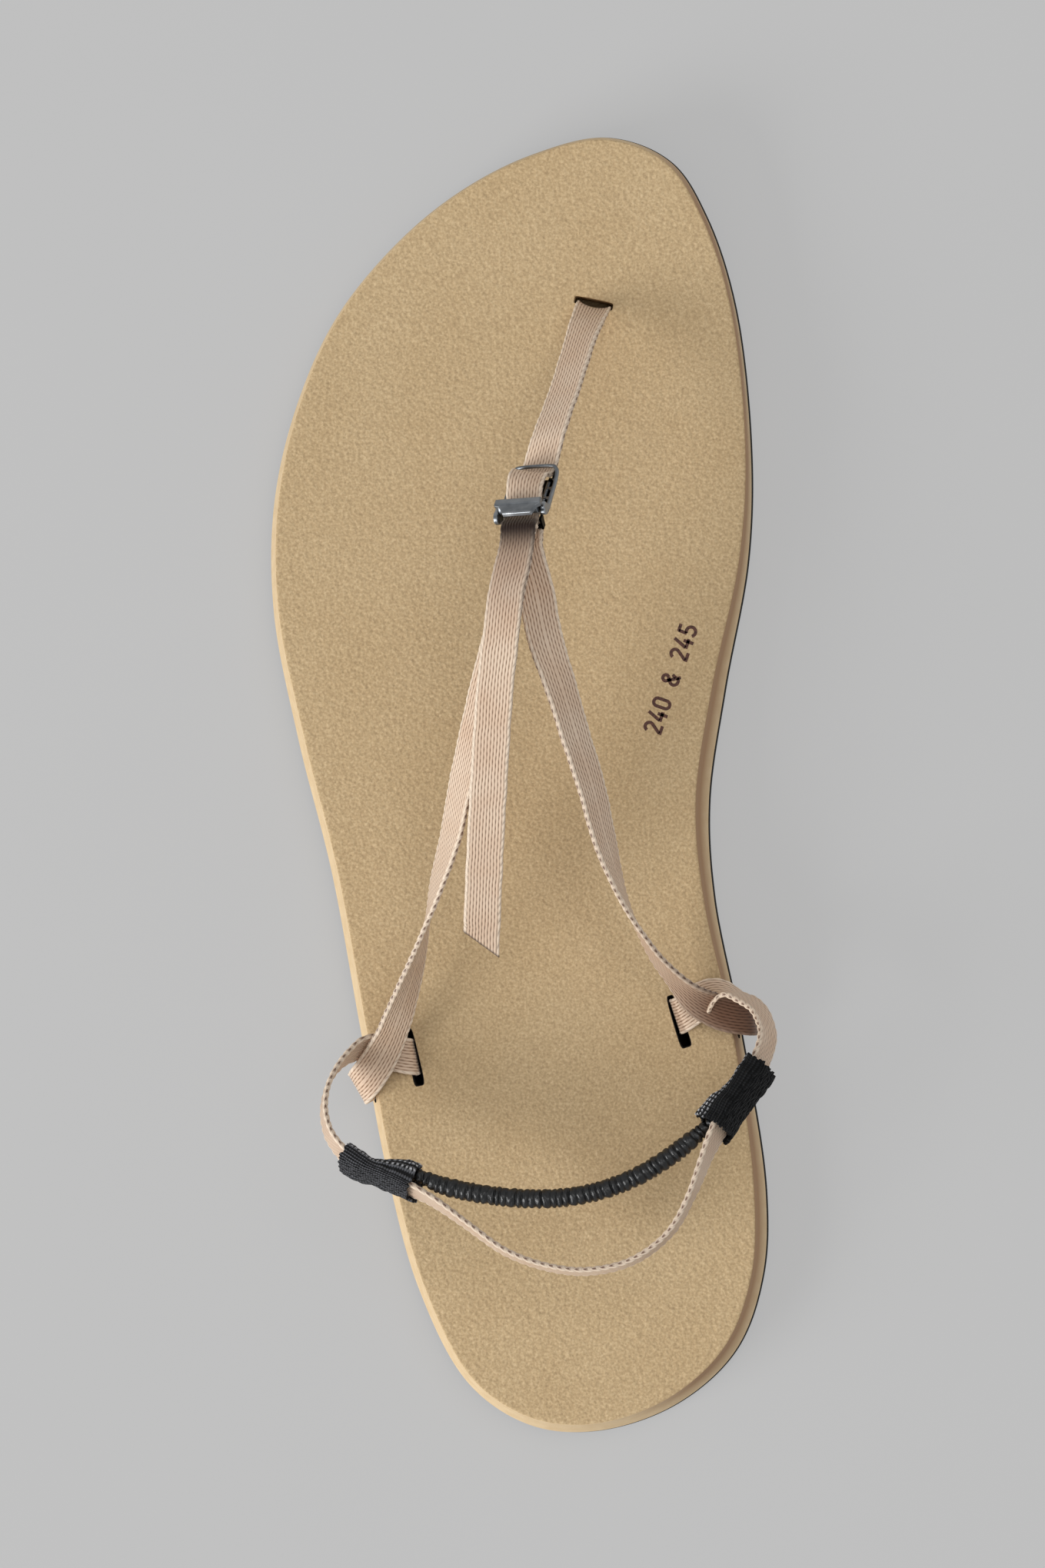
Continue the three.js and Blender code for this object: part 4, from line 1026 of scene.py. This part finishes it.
def make_toe_tape(tape):
    """The tape from the toe slot through the buckle to its cut tail."""
    rows = np.vstack([tape_rows(TOE_RISE), buckle_rows(TOE_IN_BUCKLE), tape_rows(TAIL)])
    shell = tape_shell(rows, TAPE["width"], TAPE["thickness"], slant=0.8, seed=0.7, cup=-0.85)
    # Painted shadow of the lever, with some dirt from handling, in bands across the tape.
    for back, up, reach, depth in LEVER_SHADOW_AND_SOIL:
        place = buckle_rows([(back, 0, up, 0)])[0, :3]
        along_buckle = np.abs((shell["points"] - place) @ -BUCKLE_TURN[:, 1])
        near = np.linalg.norm(shell["points"] - place, axis=1) < LEVER_BAND_LIMIT
        shell["values"]["soil"] += depth * near * np.exp(-((along_buckle / reach) ** 2))
    # Painted shade on the tail just behind the buckle.
    add_painted_shade(shell, TOE_PAINTED_SHADE)
    return piece_from("toe_strap", shell, [tape])


def make_instep_tape(tape):
    """The tape sewn round the buckle's rear bar, down both legs and round behind the heel."""
    world = LATERAL_LEG + LATERAL_WRAP + LATERAL_HEEL + LATERAL_TAB + HEEL_BACK
    world += MEDIAL_TAB + MEDIAL_HEEL + MEDIAL_WRAP + MEDIAL_LEG
    rows = np.vstack([buckle_rows(LATERAL_START), tape_rows(world), buckle_rows(MEDIAL_END)])
    run = tape_shell(rows, TAPE["width"], TAPE["thickness"], seed=2.3)
    loop = tape_shell(buckle_rows(REAR_LOOP), TAPE["width"] - 0.4, TAPE["thickness"] + 0.12, seed=1.1)
    last = len(rows) - len(MEDIAL_WRAP + MEDIAL_LEG + MEDIAL_END)
    length = length_along(rows[:, :3])
    # Painted shade on the medial leg and its hitch, past the heel.
    add_painted_shade(run, INSTEP_PAINTED_SHADE, length[last] / length[-1])
    return piece_from("instep_strap", joined_shells([run, loop]), [tape])


# Heel tabs and elastic

# Each tab's own look: the seed of its folds, its dust and painted sheen, paler on the lateral tab,
# # which faces the key lamp, how much it is pinched, how much further it stands off on the outside,
# # and whether the elastic enters at its last row.
LATERAL_LOOK = {"seed": 0.4, "dust_and_sheen": 0.7, "pinch": 0.13, "wider": 0, "elastic_last": True}
MEDIAL_LOOK = {"seed": 1.9, "dust_and_sheen": 0.0, "pinch": 0.04, "wider": 0.7, "elastic_last": False}


def make_tab(name, rows, ribbon, look):
    """A ribbon folded round the tape and the elastic's end. The sleeve's outside is a flattened
    loop that swells on the foot side towards the elastic; it has ribs lengthwise, puckers and
    ragged ends. Its inside is a narrower loop, so the ribbon's thickness shows at both ends."""
    seed = look["seed"]
    along, middle, forward, across, through = tape_line(tape_rows(rows), TAB["step"])
    share = along / along[-1]
    near = share if look["elastic_last"] else 1 - share
    turn = full_turn(TAB_SIDES)
    c, s = np.cos(turn)[None, :], np.sin(turn)[None, :]
    inner = TAB["inner"] + TAB["swell"] * smooth_step(0.3, 0.95, near)[:, None]
    outer = TAB["outer"] + look["wider"] + 0.9 * smooth_step(0.8, 0.1, near)[:, None]
    rise = 0.55 * smooth_step(0.35, 1.0, near)[:, None]
    reach = np.where(s > 0, inner * np.abs(s) ** 0.7, -outer * np.abs(s) ** 0.5)
    half = TAB["width"] / 2
    height = half * np.sign(c) * np.abs(c) ** np.where(s > 0, 0.95, 0.75) + rise * np.abs(s)
    first = np.stack([height[0], reach[0]], 1)
    around = length_along(np.vstack([first, first[:1]]))
    ring = around[:-1][None, :]
    waist = 1 - look["pinch"] * np.exp(-((near - 0.45) / 0.14) ** 2)[:, None]
    a_long = along[:, None]
    fold = np.abs(np.sin(1.05 * a_long + 0.9 * ring + 2.2 * waver(ring, seed, 5.0) + seed))
    crumple = 0.3 * (1 - fold) ** 2 * smooth_step(0.2, -0.5, s)
    crumple = crumple + 0.12 * waver(a_long + 0.7 * ring, seed + 0.8, 3.3)
    ribbed = smooth_step(-0.35, 0.1, s)
    rib = TAB_RIB["height"] * np.cos(2 * np.pi * ring / TAB_RIB["pitch"]) * ribbed
    rib = rib + TAB_GRAIN["height"] * np.cos(2 * np.pi * ring / TAB_GRAIN["pitch"])
    lift = rib - crumple
    a = height * waist + 0.2 * waver(a_long, seed * 1.7, 6.0) + c * lift
    n = reach * waist + s * lift
    ragged = 0.35 * waver(ring, seed, 2.4) + 0.16 * waver(ring, seed + 1, 0.9)
    corner = smooth_step(0.5, 1.0, -c) * 1.5
    sense = 1 if look["elastic_last"] else -1
    ends = smooth_step(0.86, 1, near)[:, None] * (ragged + corner)
    ends = ends - smooth_step(0.12, 0, near)[:, None] * (ragged + smooth_step(0.6, 1, -c) * 0.5)
    push = sense * ends

    def skin(across_by, through_by):
        return (
            middle[:, None] + across[:, None] * across_by[..., None]
            - through[:, None] * through_by[..., None] + forward[:, None] * push[..., None]
        )

    wall = TAB["wall"]
    outside = skin(a, n)
    inside = skin(a * (1 - wall / half), n - np.sign(n) * np.minimum(np.abs(n) * 0.6, wall))
    rings = np.concatenate([outside, inside[::-1]])
    distance = np.concatenate([along, along[::-1], along[:1]])
    shell = tube_shell(rings, distance, around, ends=False, closed_rows=True)
    off_rib = (ring + 0.52) % TAB_RIB["pitch"] - TAB_RIB["pitch"] / 2
    line = np.exp(-((off_rib / STITCH["width"]) ** 2)) * smooth_step(0.1, 0.5, s)
    line = line * smooth_step(-0.3, 0.1, c)
    dots = np.clip(1.5 * line, 0, 1) * (np.cos(2 * np.pi * a_long / STITCH["pitch"]) > -0.1)
    shell["values"] = {
        "stitch": np.concatenate([dots, dots[::-1] * 0]).ravel(),
        "dust_and_sheen": np.full(len(shell["points"]), look["dust_and_sheen"]),
    }
    return piece_from(name, shell, [ribbon])


def make_elastic(cloth):
    """A gathered tube: its radius swells and pinches by the absolute sine of a phase along it,
    which wanders, slants a little round the tube and varies in depth."""
    curve = cubic(ELASTIC, 24)
    count = int(length_along(curve[:, :3])[-1] / ELASTIC_STEP) + 1
    along, line = evenly(curve, count)
    middle, size = line[:, :3], line[:, 3]
    forward = unit(np.gradient(middle, axis=0))
    up = np.array([0.0, 0.0, 1.0])
    side = unit(np.cross(forward, up))
    top = np.cross(side, forward)
    turn = full_turn(ELASTIC_SIDES)[None, :]
    drift = 0.28 * waver(along, 0.9, 6.3)[:, None]
    slant = 0.16 * np.sin(turn + 0.8 * waver(along, 2.2, 11.0)[:, None]) + 0.07 * np.sin(3 * turn + 1.1)
    lobe = np.abs(np.sin(np.pi * (along[:, None] / PLEAT["pitch"] + drift + slant))) ** 0.55
    depth = PLEAT["depth"] * (0.75 + 0.35 * waver(along, 3.1, 4.7)[:, None] + 0.2 * np.cos(turn - 0.6))
    radius = ELASTIC_RADIUS * size[:, None] + depth * (lobe - 0.75)
    radius = radius + 0.05 * np.sin(5 * turn + 3 * waver(along, 1.9, 2.9)[:, None])
    points = (
        middle[:, None]
        + side[:, None] * (radius * np.cos(turn))[..., None]
        + top[:, None] * (radius * np.sin(turn))[..., None]
    )
    around = np.linspace(0, 2 * np.pi * ELASTIC_RADIUS, ELASTIC_SIDES + 1)
    return piece_from("heel_elastic_tube", tube_shell(points, along, around), [cloth])


# Buckle

# Side views, ahead and up in the buckle's own frame. Where the sides differ, -1 is the left.
CHEEK_PROFILES = {
    -1: [(-3.4, -0.9), (-4.4, -1.5), (-6.6, -1.7), (-7.8, -0.9), (-7, 1), (-4.4, 1)],
    1: [(-3.4, -0.9), (-4.4, -1.6), (-5.6, -1.4), (-6.2, -0.8), (-5.8, 0.9), (-4.4, 1)],
}
HANGER_PROFILES = {
    -1: [(-4.8, -1), (-5.4, -4.3), (-6.6, -4.3), (-6.8, -3.2), (-6.8, -1)],
    1: [(-3.4, -2), (-4.4, -2.6), (-5.2, -4.5), (-6.6, -4.5), (-6.6, -3.4), (-6.2, -2)],
}
# The floor plate is a sheet under the struts, painted black, a painted shade that keeps the windows dark.
SHADE_FLOOR_PROFILE = [(5.6, -2.1), (-4.2, -2.1), (-4.2, -2.6), (5.6, -2.6)]
CORNER_PROFILE = [(6.6, -0.5), (4.2, -0.7), (4.2, -1.5), (6.6, -1.3)]
PLATE_PROFILE = [(4.4, -0.75), (-4, -0.7), (-4, -1.7), (4.4, -1.25)]
# The lever seen from above: right and ahead.
LEVER_PROFILE = [
    (-4.9, -4.6), (-4.95, -6.3), (-3.6, -6.8), (-2.5, -8.9), (3.6, -8.9), (4.1, -6.8),
    (4.95, -6.3), (4.9, -4.6),
]
# From where to where across each hanger reaches, and how far ahead each ear is, with its radius.
HANGERS = {-1: (-4.9, -4.2), 1: (3.15, 3.6)}
EARS = {-1: (-7.1, 1.3), 1: (-5.9, 0.7)}
# Behind its start the buckle leans to the right, by a share of the way back, up to a reach.
LEAN = {"share": 0.06, "start": 4, "reach": 12}
# Cell sizes of the remesh that makes each casting one skin.
FRAME_CELL = 0.11
LEVER_CELL = 0.09
HALF_WIDTH = 5.2
CAM_END = 4.1


def rod(path, radius, sides=20):
    """A round bar along a path of points, rounded where it bends."""
    points = cubic(path, 10) if len(path) > 2 else np.linspace(path[0], path[1], 9)
    forward = unit(np.gradient(points, axis=0))
    guide = np.array([0.31, 0.23, 0.92])
    side = unit(np.cross(forward, guide))
    top = np.cross(side, forward)
    turn = full_turn(sides)[None, :]
    rings = points[:, None] + radius * (
        side[:, None] * np.cos(turn)[..., None] + top[:, None] * np.sin(turn)[..., None]
    )
    return plain_tube(rings)


def prism(outline, low, high, axes):
    """A flat outline carried from low to high, with its axes named by their order."""
    flat = np.asarray(outline, float)
    rings = []
    for level in (low, high):
        ring = np.zeros((len(flat), 3))
        ring[:, axes[0]], ring[:, axes[1]], ring[:, axes[2]] = flat[:, 0], flat[:, 1], level
        rings.append(ring)
    return plain_tube(np.stack(rings))


def side_plate(profile, sign, near, far):
    """A side view carried across one side of the buckle, from near its middle to further out."""
    return prism(profile, *sorted((sign * near, sign * far)), (1, 2, 0))


def fused(name, shells, cell, material, wear_and_painted_light):
    """Several closed shells made one casting, remeshed in small cells and smoothed. A function of
    place gives its value of wear and painted light. Then it takes the lean and is put where the
    buckle is."""
    piece = piece_from(name, joined_shells(shells), [material], scale=1.0)
    melt = piece.modifiers.new("melt", "REMESH")
    melt.mode = "VOXEL"
    melt.voxel_size = cell
    soften = piece.modifiers.new("soften", "SMOOTH")
    soften.factor = 0.5
    soften.iterations = 5
    settle(piece)
    mesh = piece.data
    points = np.zeros(len(mesh.vertices) * 3)
    mesh.vertices.foreach_get("co", points)
    points = points.reshape(-1, 3)
    attribute = mesh.attributes.new("wear_and_painted_light", "FLOAT", "POINT")
    attribute.data.foreach_set("value", wear_and_painted_light(points).astype(np.float32))
    points[:, 0] += LEAN["share"] * np.clip(LEAN["start"] - points[:, 1], 0, LEAN["reach"])
    placed = (points @ BUCKLE_TURN.T + BUCKLE_MIDDLE) * MM
    mesh.vertices.foreach_set("co", placed.ravel())
    mesh.update()
    mesh.shade_smooth()
    if not mesh.materials:
        mesh.materials.append(material)
    return piece


def make_buckle_frame(metal):
    """Front bar that turns at round corners into a thin rail on each side, with windows between
    slanting struts below it; rear cheeks with hooked ears, and the rear bar between them."""
    side = HALF_WIDTH - 0.36
    rail = [
        (side, -3, -0.95), (side, 1, -1.1), (side, 4.6, -0.75), (side - 0.1, 6, -0.25),
        (side - 0.75, 6.85, 0.1), (side - 1.7, 7, 0.2),
    ]
    left = [(-x, y, z) for x, y, z in rail[::-1]]
    shells = [
        rod([(side, -5.8, -0.5), *rail, *left, (-side, -7.2, -0.4)], 0.4),
        rod([(-4.4, -6, -4), (3.4, -6, -4)], 0.5),
    ]
    for sign in (-1, 1):
        shells.append(rod([(sign * 3, 5.4, -1.75), (sign * 3, -3.6, -1.75)], 0.36, 12))
        for ahead in (4.9, 2.2, -0.6, -3.2):
            strut = [
                (sign * 3, ahead + 0.1, -1.8), (sign * 3.9, ahead - 0.2, -1.35),
                (sign * side, ahead - 1.2, -0.95),
            ]
            shells.append(rod(strut, 0.34, 12))
        low, high = sorted((sign * (HALF_WIDTH - 0.8), sign * (HALF_WIDTH + 0.1)))
        ahead, radius = EARS[sign]
        shells += [
            side_plate(CHEEK_PROFILES[sign], sign, 4.3, HALF_WIDTH),
            prism(HANGER_PROFILES[sign], *HANGERS[sign], (1, 2, 0)),
            rod([(low, ahead, -0.3), (high, ahead, -0.3)], radius, 28),
            side_plate(PLATE_PROFILE, sign, 4.5, HALF_WIDTH),
            # A black sheet under the windows, standing in for their shade.
            side_plate(SHADE_FLOOR_PROFILE, sign, 1.5, 4.2),
            side_plate(CORNER_PROFILE, sign, 3.95, 4.7),
        ]

    def wear_and_painted_light(points):
        top = smooth_step(0.7, 1.05, points[:, 2]) * 0.35
        bar = smooth_step(6.9, 7.4, points[:, 1]) * 0.3
        rim = smooth_step(4.95, 5.2, np.abs(points[:, 0])) * 0.25
        # Painted shade: black low inside the frame, under the front corners and on the right hanger.
        painted_shade = smooth_step(-1.6, -2.0, points[:, 2]) * smooth_step(-4.4, -4.0, points[:, 1])
        corner = smooth_step(4.0, 4.3, points[:, 1]) * smooth_step(-0.3, -0.5, points[:, 2])
        painted_shade = np.maximum(painted_shade, corner * smooth_step(4.75, 4.6, np.abs(points[:, 0])))
        foot = smooth_step(-4.0, -4.5, points[:, 1]) * smooth_step(-1.1, -1.6, points[:, 2])
        painted_shade = np.maximum(painted_shade, foot * (points[:, 0] > 0))
        return np.maximum(np.maximum(top, bar), rim) * (1 - painted_shade) - painted_shade

    return fused("buckle_casting", shells, FRAME_CELL, metal, wear_and_painted_light)


def make_buckle_lever(metal):
    """Cam barrel with a plate on it: a raised full-width band, then a lip that narrows."""
    band = [(-4.85, -4.75), (-4.85, -6.1), (4.85, -6.1), (4.85, -4.75)]
    shells = [
        rod([(-CAM_END, -5.8, 1), (CAM_END, -5.8, 1)], 1.3, 28),
        prism(LEVER_PROFILE, 1.45, 2.4, (0, 1, 2)),
        prism(band, 2.0, 2.58, (0, 1, 2)),
    ]

    def wear_and_painted_light(points):
        # The lip is brighter: partly wear, partly a painted highlight in a spot left of its middle. The
        # band is brighter along its top.
        lip = smooth_step(-8.3, -8.9, points[:, 1])
        left = np.exp(-((points[:, 0] + 1.2) / 0.8) ** 2)
        band = smooth_step(2.5, 2.62, points[:, 2]) * 0.25
        return np.clip(lip * (0.35 + 0.65 * left) + band, 0, 1)

    return fused("buckle_cam_lever", shells, LEVER_CELL, metal, wear_and_painted_light)


# Stage

def make_floor(paper):
    """A wide flat floor under the sole."""
    half = 2500.0
    points = np.array([(-half, -half, 0), (half, -half, 0), (half, half, 0), (-half, half, 0)])
    quads = np.array([[0, 1, 2, 3]])
    shell = {"points": points, "quads": quads, "uv": points[:, :2][quads], "caps": [], "values": {}}
    return piece_from("studio_floor", shell, [paper])


def add_lamp(name, place, size, watts):
    """A square white soft box at a place, turned to the origin."""
    lamp = bpy.data.lights.new(name, "AREA")
    lamp.energy = watts
    lamp.size = size * MM
    item = bpy.data.objects.new(name, lamp)
    item.location = Vector(place) * MM
    item.rotation_euler = (-Vector(place)).to_track_quat("-Z", "Y").to_euler()
    bpy.context.scene.collection.objects.link(item)


def add_world(strength):
    """Even white fill light from all round."""
    world = bpy.data.worlds.new("studio")
    world.use_nodes = True
    back = world.node_tree.nodes["Background"]
    back.inputs["Color"].default_value = colour("#FFFFFF")
    back.inputs["Strength"].default_value = strength
    bpy.context.scene.world = world


def add_camera():
    """The photograph's camera, aimed at this shoe, with its top edge towards the toes."""
    lens = bpy.data.cameras.new("camera")
    item = bpy.data.objects.new("camera", lens)
    place, aim = Vector(CAMERA_AT) * MM, Vector(CAMERA_AIM) * MM
    back = (place - aim).normalized()
    right = Vector((0, 1, 0)).cross(back).normalized()
    up = back.cross(right)
    turn = Matrix((right, up, back)).transposed().to_4x4()
    item.matrix_world = Matrix.Translation(place) @ turn
    lens.sensor_fit = "VERTICAL"
    lens.sensor_height = SENSOR
    lens.lens = SENSOR * (place - aim).length / (FRAMED_HEIGHT * MM)
    lens.clip_start, lens.clip_end = 0.05, 20
    bpy.context.scene.collection.objects.link(item)
    bpy.context.scene.camera = item


# Assembly

rubber, tape = outsole_rubber(), woven_tape()
ribbon, cloth, metal = black_ribbon(), gathered_cloth(), gunmetal()

add_camera()
pieces = [
    (make_midsole(footbed_foam(), wall_foam(), slot_wall()), "footbed_foam", ["midsole"]),
    (make_outsole(rubber), "outsole_rubber", ["outsole"]),
    (make_size_print(print_ink()), "footbed_foam", []),
    (make_toe_tape(tape), "woven_tape", ["toe_tape"]),
    (make_instep_tape(tape), "woven_tape", ["instep_heel_tape"]),
    (make_tab("tab_lateral", LATERAL_TAB, ribbon, LATERAL_LOOK), "woven_tab", ["heel_tab_lateral"]),
    (make_tab("tab_medial", MEDIAL_TAB, ribbon, MEDIAL_LOOK), "woven_tab", ["heel_tab_medial"]),
    (make_elastic(cloth), "heel_elastic", ["heel_elastic"]),
    (make_buckle_frame(metal), "buckle_metal", ["buckle_frame"]),
    (make_buckle_lever(metal), "buckle_metal", ["buckle_lever"]),
]
for piece, slot_name, nodes in pieces:
    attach(piece, "root")
    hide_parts(*nodes)

make_floor(paper_floor())
add_world(FILL_STRENGTH)
for lamp in LAMPS:
    add_lamp(*lamp)
bpy.context.scene.view_settings.view_transform = "Standard"
